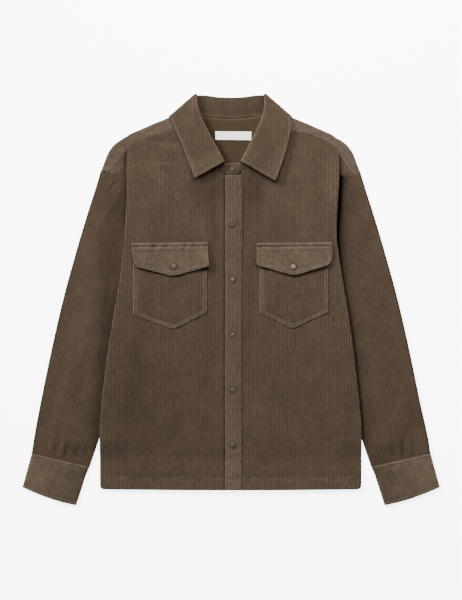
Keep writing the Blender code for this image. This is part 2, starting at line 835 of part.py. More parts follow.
def back_columns():
    """Ring columns across the back of the neck."""
    columns = []
    for share in (-0.7, -0.35, 0.0, 0.35, 0.7):
        roll_x = share * CORNER_X
        roll_y = mix(BACK_ROLL_Y, CORNER_Y, share * share) - BACK_ROLL - HALF
        seam_x = share * NECK_HALF
        edge_x = share * CREASE_END_X
        edge_y = mix(BACK_EDGE_Y, CREASE_END_Y - 2.0, share * share)
        columns.append(RingColumn(
            (roll_x, roll_y, HALF + STEP),
            (roll_x, roll_y, HALF),
            (0.0, 1.0, 0.0),
            (seam_x, back_neck_y(seam_x) + SEAM, HALF + STEP),
            (edge_x, edge_y, HALF),
        ))
    return columns


def ring_columns():
    """All ring columns, from the right leaf's front edge round to the left's."""
    return (
        leaf_columns(-1) + crease_columns(-1) + back_columns()
        + crease_columns(1)[::-1] + leaf_columns(1)[::-1]
    )


def stand_end(side):
    """The stand's lines across the centre front; the left end laps over the right."""
    start, reach = STAND_END_X[side]
    over = LAP if side > 0 else 0.0
    lines = []
    for share in (1.0, 0.5):
        x = mix(start, reach, share)
        z = front_z(x, FRONT_NECK_Y) + over
        low = FRONT_NECK_Y + SEAM
        lines.append([(x, y, z) for y in (low, mix(low, STAND_TOP_Y, 0.5), STAND_TOP_Y)])
    return lines


def build_collar():
    """The collar: two leaves, the roll and the back that lies under the yoke."""
    net = Net()
    net.add([column.collar_line() for column in ring_columns()])
    return wall("collar", net, COLLAR_CLOTH)


def build_collar_stand():
    """The stand, from the centre front round the neck and back."""
    lines = stand_end(-1) + [column.stand_line() for column in ring_columns()]
    lines += stand_end(1)[::-1]
    net = Net()
    net.add(lines)
    return wall("collar_stand", net)


# ---------------------------------------------------------------- pockets and flaps
POCKET = {
    # side: inner x, outer x, top y, corner y, tip x, tip y
    -1: (44.5, 184.0, 101.0, -25.0, 107.0, -55.0),
    1: (56.2, 186.8, 101.0, -25.0, 117.4, -55.0),
}
FLAP = {
    # side: inner x, outer x, top y, corner y, tip x, tip y
    -1: (41.5, 186.5, 107.5, 62.5, 107.2, 43.7),
    1: (49.5, 190.3, 107.5, 65.5, 118.9, 44.7),
}
POCKET_SHARES = (0.0, 0.16, 0.33, 0.5, 0.75, 1.0)
FLAP_SHARES = (0.0, 0.33, 0.66, 1.0)
POCKET_RISE = STEP + 0.2
FLAP_RISE = 2.0 * STEP + 0.8
PATCH_MARGIN = 4.0     # the front's columns closer to a patch's side than this are skipped
FLAP_SNAP_Y = 62.0


def height_on(rows, x, y):
    """Highest middle of the cloth at a plan point, on a panel's own flat faces."""
    best = 0.0
    for low, high in zip(rows, rows[1:]):
        for c in range(len(low) - 1):
            corners = (low[c], low[c + 1], high[c + 1], high[c])
            for picks in ((0, 1, 2), (0, 2, 3), (0, 1, 3), (1, 2, 3)):
                (ax, ay, az), (bx, by, bz), (cx, cy, cz) = (corners[n] for n in picks)
                area = (bx - ax) * (cy - ay) - (cx - ax) * (by - ay)
                if abs(area) < 1e-9:
                    continue
                u = ((x - ax) * (cy - ay) - (cx - ax) * (y - ay)) / area
                v = ((bx - ax) * (y - ay) - (x - ax) * (by - ay)) / area
                if u >= -1e-6 and v >= -1e-6 and u + v <= 1.0 + 1e-6:
                    best = max(best, az + u * (bz - az) + v * (cz - az))
    return best


def panel_rows(side):
    """The front's rows, out to where its side edge rolls."""
    return [front_row(y, side) + rolled_edge(y, side)[:1] for y in FOLD_ROWS]


def patch(name, side, shape, rise, shares):
    """A pocket or flap with a pointed lower edge, made from the front's own points."""
    inner_x, outer_x, top_y, corner_y, tip_x, tip_y = shape
    panel = panel_rows(side)
    rows = []
    for share in shares:
        columns = panel_columns(mix(top_y, tip_y, share), side)
        columns = [x for x in columns if inner_x + PATCH_MARGIN < x < outer_x - PATCH_MARGIN]
        columns = columns[-3:] + [inner_x, mix(inner_x, tip_x, 0.5), tip_x, outer_x]
        row = []
        for x in sorted(columns):
            end_x = outer_x if x > tip_x else inner_x
            low_y = mix(tip_y, corner_y, (x - tip_x) / (end_x - tip_x))
            y = mix(top_y, low_y, share)
            row.append((side * x, y, height_on(panel, side * x, y) + rise))
        rows.append(row)
    net = Net()
    net.add(rows)
    return wall(name, net)


# ---------------------------------------------------------------- snaps and label
SNAP_RADIUS = 5.6
SNAP_HIGH = 2.4
SNAP_PROFILE = [
    # share of the radius, share of the height
    (1.0, 0.0),
    (1.0, 0.55),
    (0.7, 1.0),
]
SNAP_SIDES = 12
SNAP_COUNT = 6
SNAP_X = 4.0           # centre of the front's snaps
SNAP_TOP_Y = 245.0     # the top one, on the stand
SNAP_PITCH = 104.0
SNAP_SPAN = 30.0       # the band is straight between points closer than this
FLAP_SNAP_GAP = 0.6    # over the flap's highest point under the cap
LABEL_X = 5.9          # centre of the label
LABEL_Y = 311.5
LABEL_WIDE = 70.0
LABEL_HIGH = 17.0
LABEL_CLOTH = 0.6


def build_snap(name, place):
    """A snap's cap: a low turned disc with a rounded top."""
    mesh = bpy.data.meshes.new(name)
    work = bmesh.new()
    rings = []
    for radius_share, height_share in SNAP_PROFILE:
        radius = radius_share * SNAP_RADIUS * MM
        ring = []
        for n in range(SNAP_SIDES):
            turn = 2.0 * math.pi * n / SNAP_SIDES
            point = (radius * math.cos(turn), radius * math.sin(turn), height_share * SNAP_HIGH * MM)
            ring.append(work.verts.new(point))
        rings.append(ring)
    for low, high in zip(rings, rings[1:]):
        for n in range(SNAP_SIDES):
            m = (n + 1) % SNAP_SIDES
            work.faces.new((low[n], low[m], high[m], high[n]))
    work.faces.new(rings[0][::-1])
    work.faces.new(rings[-1])
    work.to_mesh(mesh)
    work.free()
    snap = finish_mesh(name, mesh, NICKEL)
    snap.location = [value * MM for value in place]
    return snap


def build_front_snaps():
    """The row of snaps down the front: the top one on the stand, the rest on the band."""
    base = front_z(SNAP_X, SNAP_TOP_Y) + LAP + HALF + SEAM
    build_snap("snap_1", (SNAP_X, SNAP_TOP_Y, base))
    for n in range(1, SNAP_COUNT):
        y = SNAP_TOP_Y - SNAP_PITCH * n
        band = max(front_z(0.0, y + run) for run in (-SNAP_SPAN, 0.0, SNAP_SPAN)) + BAND_GAP
        build_snap("snap_%d" % (n + 1), (SNAP_X, y, band + HALF + SEAM))


def build_flap_snap(name, side):
    """The snap near the tip of a flap."""
    panel = panel_rows(side)
    x = side * FLAP[side][4]
    reach = (-SNAP_RADIUS, 0.0, SNAP_RADIUS)
    high = max(height_on(panel, x + a, FLAP_SNAP_Y + b) for a in reach for b in reach)
    return build_snap(name, (x, FLAP_SNAP_Y, high + 2.0 * STEP + HALF + SEAM + FLAP_SNAP_GAP))


def build_label():
    """The bare label inside the back of the neck."""
    z = HALF + COLLAR_LIFT + HALF + SEAM + LABEL_CLOTH / 2
    rows = []
    for y in (LABEL_Y - LABEL_HIGH / 2, LABEL_Y + LABEL_HIGH / 2):
        rows.append([(LABEL_X + run * LABEL_WIDE, y, z) for run in (-0.5, 0.0, 0.5)])
    net = Net()
    net.add(rows)
    return wall("neck_label", net, LABEL_CLOTH, LABEL_TAPE)


# ---------------------------------------------------------------- the garment
def clear_scene():
    """Removes every object of the open scene."""
    for old in list(bpy.data.objects):
        bpy.data.objects.remove(old, do_unlink=True)


def build_overshirt():
    """Builds every piece of the garment."""
    build_back()
    build_yoke()
    build_front_band()
    build_collar_stand()
    build_collar()
    for name, side in (("right", -1), ("left", 1)):
        build_front("front_" + name, side)
        build_sleeve("sleeve_" + name, side)
        build_cuff("cuff_" + name, side)
        patch("pocket_" + name, side, POCKET[side], POCKET_RISE, POCKET_SHARES)
        patch("flap_" + name, side, FLAP[side], FLAP_RISE, FLAP_SHARES)
        build_flap_snap("snap_flap_" + name, side)
    build_front_snaps()
    build_label()


clear_scene()
build_overshirt()
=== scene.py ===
import logging
import math
from dataclasses import dataclass, field
from enum import Enum

import bmesh
import bpy
import numpy as np
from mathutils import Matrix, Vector


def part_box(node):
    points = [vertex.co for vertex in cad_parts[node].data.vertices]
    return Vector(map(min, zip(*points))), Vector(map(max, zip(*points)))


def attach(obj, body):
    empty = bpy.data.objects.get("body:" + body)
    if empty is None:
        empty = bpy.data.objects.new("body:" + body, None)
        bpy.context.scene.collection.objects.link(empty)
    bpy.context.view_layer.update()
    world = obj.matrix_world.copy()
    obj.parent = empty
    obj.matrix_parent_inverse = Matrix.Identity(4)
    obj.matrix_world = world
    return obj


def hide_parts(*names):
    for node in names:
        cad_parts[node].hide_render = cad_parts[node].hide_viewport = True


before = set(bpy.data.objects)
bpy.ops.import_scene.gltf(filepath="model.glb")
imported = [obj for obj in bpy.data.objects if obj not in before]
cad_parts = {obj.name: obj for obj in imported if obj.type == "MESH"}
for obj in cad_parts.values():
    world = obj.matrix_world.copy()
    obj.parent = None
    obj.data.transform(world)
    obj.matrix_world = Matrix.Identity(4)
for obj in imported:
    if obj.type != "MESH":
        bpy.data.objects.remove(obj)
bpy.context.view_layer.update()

Array = np.ndarray
Material = bpy.types.Material
Node = bpy.types.Node
Socket = bpy.types.NodeSocket
Tree = bpy.types.NodeTree
Size = Array | float
Row = tuple[float, ...]
Table = tuple[Row, ...]
Pair = tuple[float, float]
Place = tuple[float, float, float]
MM = 0.001
LOG = logging.getLogger("overshirt")


# ------------------------------------------------------------------ small maths
def smooth(value: Size) -> Array:
    """Eases from 0 to 1, and stays at 0 or 1 outside."""
    t = np.clip(value, 0.0, 1.0)
    return t * t * (3.0 - 2.0 * t)


def near(value: Size, width: float) -> Array:
    """Eases from 1 at zero down to 0 at the width."""
    return smooth(1.0 - value / width)


def mix(a: Size, b: Size, t: Size) -> Array:
    """The value a share t of the way from a to b."""
    return a + (b - a) * t


def bell(value: Size, width: float) -> Array:
    """1 at zero, and soft on both sides to nearly nothing at twice the width."""
    return np.exp(-((value / width) ** 2))


def pack(*parts: Array) -> Array:
    """Points from their x, y and z."""
    return np.stack(parts, axis=-1)


def apart(a: Array, b: Array) -> Array:
    """How far points lie from others."""
    return np.linalg.norm(a - b, axis=-1)


def run_length(path: Array) -> Array:
    """Distance along a path at each of its points."""
    return np.concatenate([[0.0], np.cumsum(np.linalg.norm(np.diff(path, axis=0), axis=1))])


def points_on(path: Array, reach: Array, at: Array) -> Array:
    """Points of a path at distances along it."""
    return pack(*(np.interp(at, reach, path[:, n]) for n in range(3)))


def hermite(t: Size, span: Size, ends: tuple[Size, Size], slopes: tuple[Size, Size]) -> Array:
    """Smooth curve over a span between two values, with a slope at each; t is the share."""
    return (
        (2 * t**3 - 3 * t**2 + 1) * ends[0]
        + (t**3 - 2 * t**2 + t) * span * slopes[0]
        + (3 * t**2 - 2 * t**3) * ends[1]
        + (t**3 - t**2) * span * slopes[1]
    )


def read(table: Table, column: int, at: Size, key: int = 0) -> Array:
    """Smooth curve through one column of a short table.

    Args:
        table: rows of sizes.
        column: the column that is read.
        at: where its key column is read.
        key: the key column.

    Returns:
        The values there; they stay level beyond the ends.
    """
    rows = sorted(table, key=lambda row: row[key])
    keys = np.array([row[key] for row in rows])
    values = np.array([row[column] for row in rows])
    at = np.clip(np.asarray(at, dtype=float), keys[0], keys[-1])
    last = len(rows) - 1
    i = np.clip(np.searchsorted(keys, at, side="right") - 1, 0, last - 1)
    span = keys[i + 1] - keys[i]
    t = (at - keys[i]) / span

    def slope(n: Array) -> Array:
        """Slope of the curve at row n.

        Args:
            n: row numbers.

        Returns:
            The slopes.
        """
        low = np.maximum(n - 1, 0)
        high = np.minimum(n + 1, last)
        return (values[high] - values[low]) / (keys[high] - keys[low])

    return hermite(t, span, (values[i], values[i + 1]), (slope(i), slope(i + 1)))


@dataclass(frozen=True)
class Chance:
    """Soft uneven values over a plane, the same on every run."""

    seed: int

    def at(self, x: Size, y: Size = 0.0) -> Array:
        """Uneven values between -1 and 1 that change over a distance of about one.

        Args:
            x: first coordinate.
            y: second coordinate.

        Returns:
            The value at each point.
        """
        size = 64
        grid = np.random.default_rng(self.seed).uniform(-1.0, 1.0, (size, size))
        x, y = np.broadcast_arrays(np.asarray(x, dtype=float), np.asarray(y, dtype=float))
        cell_x, cell_y = np.floor(x).astype(int), np.floor(y).astype(int)
        lines = []
        for up in (0, 1):
            left, right = (grid[(cell_x + n) % size, (cell_y + up) % size] for n in (0, 1))
            lines.append(mix(left, right, smooth(x - cell_x)))
        return mix(lines[0], lines[1], smooth(y - cell_y))


@dataclass(frozen=True)
class Crease:
    """A soft ridge, or a trough where its height is below zero; sizes in mm."""

    start: Pair
    end: Pair
    width: float
    height: float
    bow: float = 0.0

    def relief(self, x: Array, y: Array) -> Array:
        """Height that the crease adds at plan points.

        Args:
            x: distance from the centre line, signed.
            y: distance from the origin towards the collar.

        Returns:
            The added height.
        """
        run_x = self.end[0] - self.start[0]
        run_y = self.end[1] - self.start[1]
        length = math.hypot(run_x, run_y)
        along = ((x - self.start[0]) * run_x + (y - self.start[1]) * run_y) / length**2
        across = ((x - self.start[0]) * -run_y + (y - self.start[1]) * run_x) / length
        inside = np.clip(along, 0.0, 1.0)
        across -= self.bow * 4.0 * inside * (1.0 - inside)
        beyond = (along - inside) * length
        distance = np.hypot(across, beyond)
        taper = 0.25 + 0.75 * np.sin(math.pi * inside) ** 0.8
        return self.height * taper * bell(distance, self.width)


@dataclass(frozen=True)
class PaintedShadePatch:
    """A soft patch of painted shade where the pile is darker, or of lighter pile below zero; sizes
    in mm.
    """

    x: float
    y: float
    wide: float
    high: float
    depth: float

    def at(self, x: Array, y: Array) -> Array:
        """How dark the patch is at plan points."""
        return self.depth * bell(x - self.x, self.wide) * bell(y - self.y, self.high)


def creases_at(creases: tuple[Crease, ...], x: Array, y: Array) -> Array:
    """Sum of several creases at plan points."""
    return sum((crease.relief(x, y) for crease in creases), np.zeros(np.broadcast(x, y).shape))


# ------------------------------------------------------------------ how the garment lies
@dataclass(frozen=True)
class Lay:
    """Sizes of the laid garment in mm: where its edges run and how its layers stack.

    The wearer's right is side -1, at negative x, and the wearer's left is side +1.
    """

    cloth: float = 1.6
    seam: float = 0.3
    hem_y: float = -357.5
    hem_turn: float = 20.0
    hem_sag: float = 1.5
    sag_top_y: float = -260.0
    sag_reach: float = 215.0
    yoke_back_y: float = 226.0
    band_left_x: float = 22.0
    band_right_x: float = -10.3
    front_neck_y: float = 235.6
    back_neck_y: float = 342.0
    neck_rise: float = 15.0
    neck_half: float = 88.0
    body_lift: float = 4.5
    tuck_slope: float = 45.0
    tuck_clear: float = 9.0
    tuck_min: float = 14.0
    tuck_end_y: float = -308.0
    tuck_fall: float = 44.0
    fold_top_y: float = 286.0
    collar_reach: float = 117.0
    collar_low_y: float = 307.0
    collar_rise: float = 38.0
    lip: float = 1.8
    back_inset: float = 2.4
    tab_y: float = 233.0
    fold_end_y: float = 284.5
    tab_tip_x: float = 231.5
    tip_x: float = 247.0
    tip_y: float = 238.0
    armhole_fall: float = 0.237
    # y, wearer's right, wearer's left
    side_table: Table = (
        (-357.5, 246.5, 247.5),
        (-235, 246.4, 247.4),
        (-136, 236.7, 237.5),
        (-54, 224.9, 227.1),
        (5, 214.8, 217.7),
        (54, 207.5, 209.5),
        (113, 200.9, 201.6),
        (150, 198.4, 201.4),
        (190, 196.2, 203.5),
        (246, 196.5, 206),
        (286, 195.5, 203.5),
        (315, 195, 201),
    )
    # outer x, outer y, inner x, inner y, height
    sleeve_table: Table = (
        (247.3, 237, 171, 218.6, 4.3),
        (254.6, 211.9, 171.5, 190, 4.2),
        (268.5, 169, 173, 147, 4.2),
        (289.8, 97.9, 179, 73, 4.2),
        (315, 6.7, 194, -18, 4.2),
        (336.3, -84.6, 210, -110, 4.2),
        (355.3, -175.8, 228, -202, 4.2),
        (367, -236, 247, -260, 4.2),
        (372.3, -266, 256.6, -288.8, 4.4),
        (375.8, -290.6, 266, -315.9, 4.6),
    )
    # fold x, fold y, front seam x, front seam y, back seam x
    tip_threads: Table = (
        (219, 293.8, 209.5, 268.5, 214),
        (230.6, 279, 219, 254, 223),
        (238.4, 260, 228.5, 240.4, 233),
        (244.8, 243.6, 238.5, 237.4, 243),
        (246.4, 240.6, 243, 238.2, 244.9),
    )
    # x, y
    neck_seam: Table = (
        (10.9, 235.6),
        (37, 254),
        (57, 304.5),
        (71.5, 331.6),
    )
    # x, y
    yoke_seam: Table = (
        (71.5, 331.6),
        (92, 327),
        (115, 321),
        (146, 312.5),
        (170, 305),
        (184, 298.8),
        (199, 284.5),
    )

    @property
    def half(self) -> float:
        """Half the cloth's thickness."""
        return self.cloth / 2

    @property
    def step(self) -> float:
        """From the middle of one layer to the middle of the next."""
        return self.cloth + self.seam

    def sagged(self, points: Array) -> Array:
        """The points with the hem let down a little in the middle.

        Args:
            points: rows of x, y and z.

        Returns:
            The moved points.
        """
        points = points.copy()
        low = np.clip((self.sag_top_y - points[..., 1]) / (self.sag_top_y - self.hem_y), 0.0, 1.0)
        points[..., 1] -= self.hem_sag * low**2 * (1.0 - (points[..., 0] / self.sag_reach) ** 2)
        return points

    def neck_y(self, x: Size) -> Size:
        """Height of the back neck seam at a distance x from the centre line."""
        return self.back_neck_y + self.neck_rise * (x / self.neck_half) ** 2

    def side_edge(self, y: Size, side: int) -> Array:
        """Distance of the body's side edge from the centre line."""
        return read(self.side_table, 1 if side < 0 else 2, y)

    def armhole_y(self, x: Size) -> Array:
        """Height of the armhole seam at a distance x from the centre line."""
        return self.tip_y - self.armhole_fall * (self.tip_x - x)

    def tuck_line(self, y: Size, side: int) -> Array:
        """Where the body starts to lie on the sleeve."""
        inner = read(self.sleeve_table, 2, y, key=3)
        return np.minimum(inner, self.side_edge(y, side) - self.tuck_min)

    def side_lift(self, x: Array, y: Array) -> Array:
        """How far the sleeve under it lifts the body's side.

        Args:
            x: distance from the centre line, signed.
            y: distance from the origin towards the collar.

        Returns:
            The height in mm.
        """
        along = smooth((self.fold_top_y - y) / (self.fold_top_y - self.yoke_back_y - 2.0))
        along = along * smooth((y - self.tuck_end_y) / self.tuck_fall)
        tuck = np.where(np.asarray(x) < 0, self.tuck_line(y, -1), self.tuck_line(y, 1))
        ramp_top = tuck - self.tuck_clear
        across = smooth((np.abs(x) - ramp_top + self.tuck_slope) / self.tuck_slope)
        return self.body_lift * along * across

    def neck_lift(self, x: Array, y: Array) -> Array:
        """How far the back of the collar lifts the yoke above it.

        Args:
            x: distance from the centre line, signed.
            y: distance from the origin towards the collar.

        Returns:
            The height in mm.
        """
        wide = np.abs(x)
        over = self.collar_low_y + self.collar_rise * (wide / self.collar_reach) ** 2 - y
        beside = np.hypot(
            wide - self.collar_reach,
            np.maximum(0.0, self.collar_low_y + self.collar_rise - y),
        )
        fall = np.where(wide <= self.collar_reach, np.maximum(0.0, over), beside)
        return self.step * near(fall - 10.0, 45.0)

    def back_z(self, x: Array, y: Array, outboard: Array | bool = False) -> Array:
        """Middle of the back layer; outboard points lie beyond the side fold."""
        lift = np.where(outboard, 0.0, self.side_lift(x, y))
        return self.half + np.maximum(lift, self.neck_lift(x, y))

    def air(self, x: Array, y: Array) -> Array:
        """Room between the back layer and the front one.

        Args:
            x: distance from the centre line, signed.
            y: distance from the origin towards the collar.

        Returns:
            The room in mm.
        """
        hem = 2.0 * self.step * smooth((self.hem_y + self.hem_turn + 42.0 - y) / 40.0)
        chest = 1.1 * smooth((y + 300.0) / 120.0) * smooth((self.yoke_back_y - y) / 90.0)
        chest = chest * np.sin(math.pi * np.minimum(1.0, np.abs(x) / 200.0)) ** 2
        neck = 2.6 * smooth((135.0 - np.hypot(x, y - 310.0)) / 75.0)
        return hem + np.maximum(chest, neck) + 0.25

    def front_z(self, x: Array, y: Array, outboard: Array | bool = False) -> Array:
        """Middle of the front layer, before its creases."""
        return self.back_z(x, y, outboard) + self.step + self.air(x, y)

    def front_top(self, x: Array) -> Array:
        """Upper edge of a front panel at a distance x from the centre line.

        Args:
            x: distance from the centre line.

        Returns:
            Its height in plan.
        """
        neck_x, neck_y = zip(*self.neck_seam)
        yoke = read(self.yoke_seam, 1, x)
        return np.where(x > self.yoke_seam[0][0], yoke, np.interp(x, neck_x, neck_y))


LAY = Lay()


# ------------------------------------------------------------------ grids of cloth
@dataclass
class Grid:
    """A grid of points on the middle of a cloth, in mm, with the grain's own coordinates."""

    points: Array
    grain: Array
    keep: Array | None = None
    # wear, with painted light above zero in places and painted shade below zero
    wear_and_painted_shading: Array | None = None

    def at(self, row: Array, column: Array) -> Array:
        """Points of the grid at places between its rows and columns.

        Args:
            row: row positions, from 0 to the last row.
            column: column positions, from 0 to the last column.

        Returns:
            One point for each position.
        """
        last_row = self.points.shape[0] - 2
        last_column = self.points.shape[1] - 2
        r = np.clip(np.floor(row).astype(int), 0, last_row)
        c = np.clip(np.floor(column).astype(int), 0, last_column)
        a = (row - r)[..., None]
        b = (column - c)[..., None]
        low = mix(self.points[r, c], self.points[r, c + 1], b)
        high = mix(self.points[r + 1, c], self.points[r + 1, c + 1], b)
        return mix(low, high, a)

    def normal_at(self, row: Array, column: Array) -> Array:
        """Upward directions of the grid at places between its rows and columns.

        Args:
            row: row positions, from 0 to the last row.
            column: column positions, from 0 to the last column.

        Returns:
            One unit vector for each position.
        """
        last_row, last_column = (count - 1 for count in self.points.shape[:2])
        below = self.at(np.minimum(row + 0.5, last_row), column)
        right = self.at(row, np.minimum(column + 0.5, last_column))
        down = below - self.at(np.maximum(row - 0.5, 0), column)
        over = right - self.at(row, np.maximum(column - 0.5, 0))
        normal = np.cross(over, down)
        normal /= np.maximum(np.linalg.norm(normal, axis=-1, keepdims=True), 1e-9)
        return normal * np.where(normal[..., 2:] < 0, -1.0, 1.0)


def refine(net: Array, counts: list[int], axis: int) -> Array:
    """Adds points between a net's own along one axis, on smooth curves through them.

    Args:
        net: the net, with any number of values a point, the first three its place.
        counts: new steps for each interval.
        axis: 0 for the rows, 1 for the columns.

    Returns:
        The finer net.
    """
    if axis == 1:
        return refine(net.swapaxes(0, 1), counts, 0).swapaxes(0, 1)
    gaps = np.maximum(np.linalg.norm(np.diff(net[..., :3], axis=0), axis=2), 1e-6)
    reach = np.concatenate([np.zeros((1, net.shape[1])), np.cumsum(gaps, axis=0)])[..., None]
    last = net.shape[0] - 1
    low = np.maximum(np.arange(last + 1) - 1, 0)
    high = np.minimum(np.arange(last + 1) + 1, last)
    slopes = (net[high] - net[low]) / (reach[high] - reach[low])
    result = []
    for k, count in enumerate(counts):
        span = gaps[k][:, None]
        for t in np.arange(count) / count:
            result.append(hermite(t, span, net[k : k + 2], slopes[k : k + 2]))
    result.append(net[last])
    return np.array(result)


def steps_for(lines: Array, spacing: float) -> list[int]:
    """How many steps of a spacing each gap between lines needs."""
    widths = np.diff(lines, axis=0).max(axis=1)
    return [max(1, math.ceil(width / spacing)) for width in widths]


def spread(table: Array, counts: list[int]) -> Array:
    """Adds straight steps between the rows of an array, a count for each interval."""
    steps = [(k, t) for k, count in enumerate(counts) for t in np.arange(count) / count]
    return np.array([mix(table[k], table[k + 1], t) for k, t in steps] + [table[-1]])


def add_object(name: str, data: bpy.types.ID) -> bpy.types.Object:
    """Puts a new object in the scene.

    Args:
        name: its name.
        data: what it shows.

    Returns:
        The new object.
    """
    made = bpy.data.objects.new(name, data)
    bpy.context.scene.collection.objects.link(made)
    return made


@dataclass
class Dresser:
    """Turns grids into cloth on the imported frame, and holds the thread that sews it."""

    thread: Material

    def cloth(
        self, name: str, grids: list[Grid], thickness: float, material: Material,
        reverse: Material | None = None,
    ) -> bpy.types.Object:
        """Makes a thin closed cloth of one or more grids that share points.

        Args:
            name: the piece's name.
            grids: its grids, whose equal points become one.
            thickness: in mm.
            material: its finish.
            reverse: the finish of its inner side, where it differs.

        Returns:
            The new object.
        """
        points, faces, grain, wear_and_painted_shading = [], [], [], []
        start = 0
        for grid in grids:
            rows, columns = grid.points.shape[:2]
            index = np.arange(rows * columns).reshape(rows, columns) + start
            quads = pack(index[:-1, :-1], index[:-1, 1:], index[1:, 1:], index[1:, :-1])
            if grid.keep is not None:
                quads = quads[grid.keep]
            faces.append(quads.reshape(-1, 4))
            points.append(grid.points.reshape(-1, 3))
            grain.append(grid.grain.reshape(-1, 2))
            worn = grid.wear_and_painted_shading if grid.wear_and_painted_shading is not None else np.zeros((rows, columns))
            wear_and_painted_shading.append(np.broadcast_to(worn, (rows, columns)).reshape(-1))
            start += rows * columns
        corner = np.vstack(faces)
        mesh = bpy.data.meshes.new(name)
        mesh.from_pydata((np.vstack(points) * MM).tolist(), [], corner.tolist())
        layer = mesh.uv_layers.new(name="grain")
        layer.data.foreach_set("uv", (np.vstack(grain)[corner.reshape(-1)] * MM).reshape(-1))
        # the wear value, which also carries painted light and painted shade
        worn = mesh.attributes.new("wear_and_painted_shading", "FLOAT", "POINT")
        worn.data.foreach_set("value", np.concatenate(wear_and_painted_shading))
        work = bmesh.new()
        work.from_mesh(mesh)
        bmesh.ops.remove_doubles(work, verts=work.verts, dist=0.02 * MM)
        loose = [vert for vert in work.verts if not vert.link_faces]
        bmesh.ops.delete(work, geom=loose, context="VERTS")
        bmesh.ops.recalc_face_normals(work, faces=work.faces)
        lowest = min(work.faces, key=lambda face: face.calc_center_median().z)
        if lowest.normal.z > 0.0:
            bmesh.ops.reverse_faces(work, faces=work.faces)
        work.to_mesh(mesh)
        work.free()
        mesh.shade_smooth()
        mesh.materials.append(material)
        if reverse is not None:
            mesh.materials.append(reverse)
        piece = add_object(name, mesh)
        solid = piece.modifiers.new("thickness", "SOLIDIFY")
        solid.thickness = thickness * MM
        solid.offset = 0.0
        solid.use_even_offset = True
        solid.use_quality_normals = True
        solid.material_offset = 0 if reverse is None else 1
        LOG.info("%s: %d faces", name, len(mesh.polygons))
        return piece

    def dress(
        self, node: str, grids: list[Grid], finish: Material, thickness: float = LAY.cloth,
        reverse: Material | None = None,
    ) -> None:
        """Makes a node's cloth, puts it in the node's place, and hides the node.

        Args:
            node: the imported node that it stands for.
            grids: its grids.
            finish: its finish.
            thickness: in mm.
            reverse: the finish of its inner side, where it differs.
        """
        piece = self.cloth(f"{node}_cloth", grids, thickness, finish, reverse)
        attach(piece, "root")
        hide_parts(node)


# ------------------------------------------------------------------ sewing
def tube_faces(rings: int, sides: int) -> list[tuple[int, ...]]:
    """Faces of a tube whose rings of points lie one after another.

    Args:
        rings: how many rings.
        sides: points of each ring.

    Returns:
        Four point numbers for each face.
    """
    faces = []
    for start in range(0, (rings - 1) * sides, sides):
        for n in range(sides):
            low, after = start + n, start + (n + 1) % sides
            faces.append((low, after, after + sides, low + sides))
    return faces


@dataclass(frozen=True)
class Topstitch:
    """A row of thread stitches; sizes in mm."""

    length: float = 2.7
    gap: float = 0.8
    radius: float = 0.34
    sides: int = 5
    # share of the length, height over the cloth, share of the radius
    rings: Table = ((0.0, -0.55, 0.6), (0.22, 0.16, 1.0), (0.78, 0.16, 1.0), (1.0, -0.55, 0.6))

    def run(self, path: Array, normals: Array) -> tuple[Array, Array]:
        """Stitches along a path on the cloth's outer face.

        Args:
            path: closely spaced points.
            normals: the outward directions there.

        Returns:
            The points and the faces of all the stitches.
        """
        reach = run_length(path)
        count = max(1, int(reach[-1] / (self.length + self.gap)))
        starts = (np.arange(count) + 0.5) * reach[-1] / count - self.length / 2
        share, depth, scale = np.array(self.rings).T
        at = starts[:, None] + share * self.length
        up = points_on(normals, reach, at)
        along = points_on(path, reach, at + 0.4) - points_on(path, reach, at - 0.4)
        along /= np.maximum(np.linalg.norm(along, axis=-1, keepdims=True), 1e-9)
        aside = np.cross(along, up)
        turn = (2.0 * math.pi * np.arange(self.sides) / self.sides)[:, None]
        spokes = np.cos(turn) * aside[:, :, None] + np.sin(turn) * up[:, :, None]
        middle = points_on(path, reach, at) + up * depth[:, None]
        points = middle[:, :, None] + spokes * (self.radius * scale)[:, None, None]
        per_stitch = len(self.rings) * self.sides
        starts_at = (np.arange(count) * per_stitch)[:, None, None]
        quads = np.array(tube_faces(len(self.rings), self.sides))[None] + starts_at
        return points.reshape(-1, 3), quads.reshape(-1, 4)


@dataclass
class Thread:
    """All the stitches of one piece."""

    stitch: Topstitch = field(default_factory=Topstitch)
    points: list[Array] = field(default_factory=list)
    faces: list[Array] = field(default_factory=list)
    total: int = 0

    def sew(self, grid: Grid, rows: Size, columns: Size, rise: float) -> None:
        """Adds a row of stitches along grid positions.

        Args:
            grid: the cloth's grid.
            rows: row positions of the path, or one for the whole path.
            columns: column positions of the path, or one for the whole path.
            rise: from the cloth's middle to its face, in mm.
        """
        rows, columns = np.broadcast_arrays(rows, columns)
        normals = grid.normal_at(rows, columns)
        path = grid.at(rows, columns) + normals * rise
        points, faces = self.stitch.run(path, normals)
        self.points.append(points)
        self.faces.append(faces + self.total)
        self.total += len(points)

    def build(self, name: str, material: Material) -> bpy.types.Object:
        """Makes the stitches one object on the frame.

        Args:
            name: its name.
            material: the thread's finish.

        Returns:
            The new object.
        """
        mesh = bpy.data.meshes.new(name)
        faces = np.vstack(self.faces).tolist()
        mesh.from_pydata((np.vstack(self.points) * MM).tolist(), [], faces)
        mesh.shade_smooth()
        mesh.materials.append(material)
        piece = add_object(name, mesh)
        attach(piece, "root")
        LOG.info("%s: %d faces", name, len(faces))
        return piece


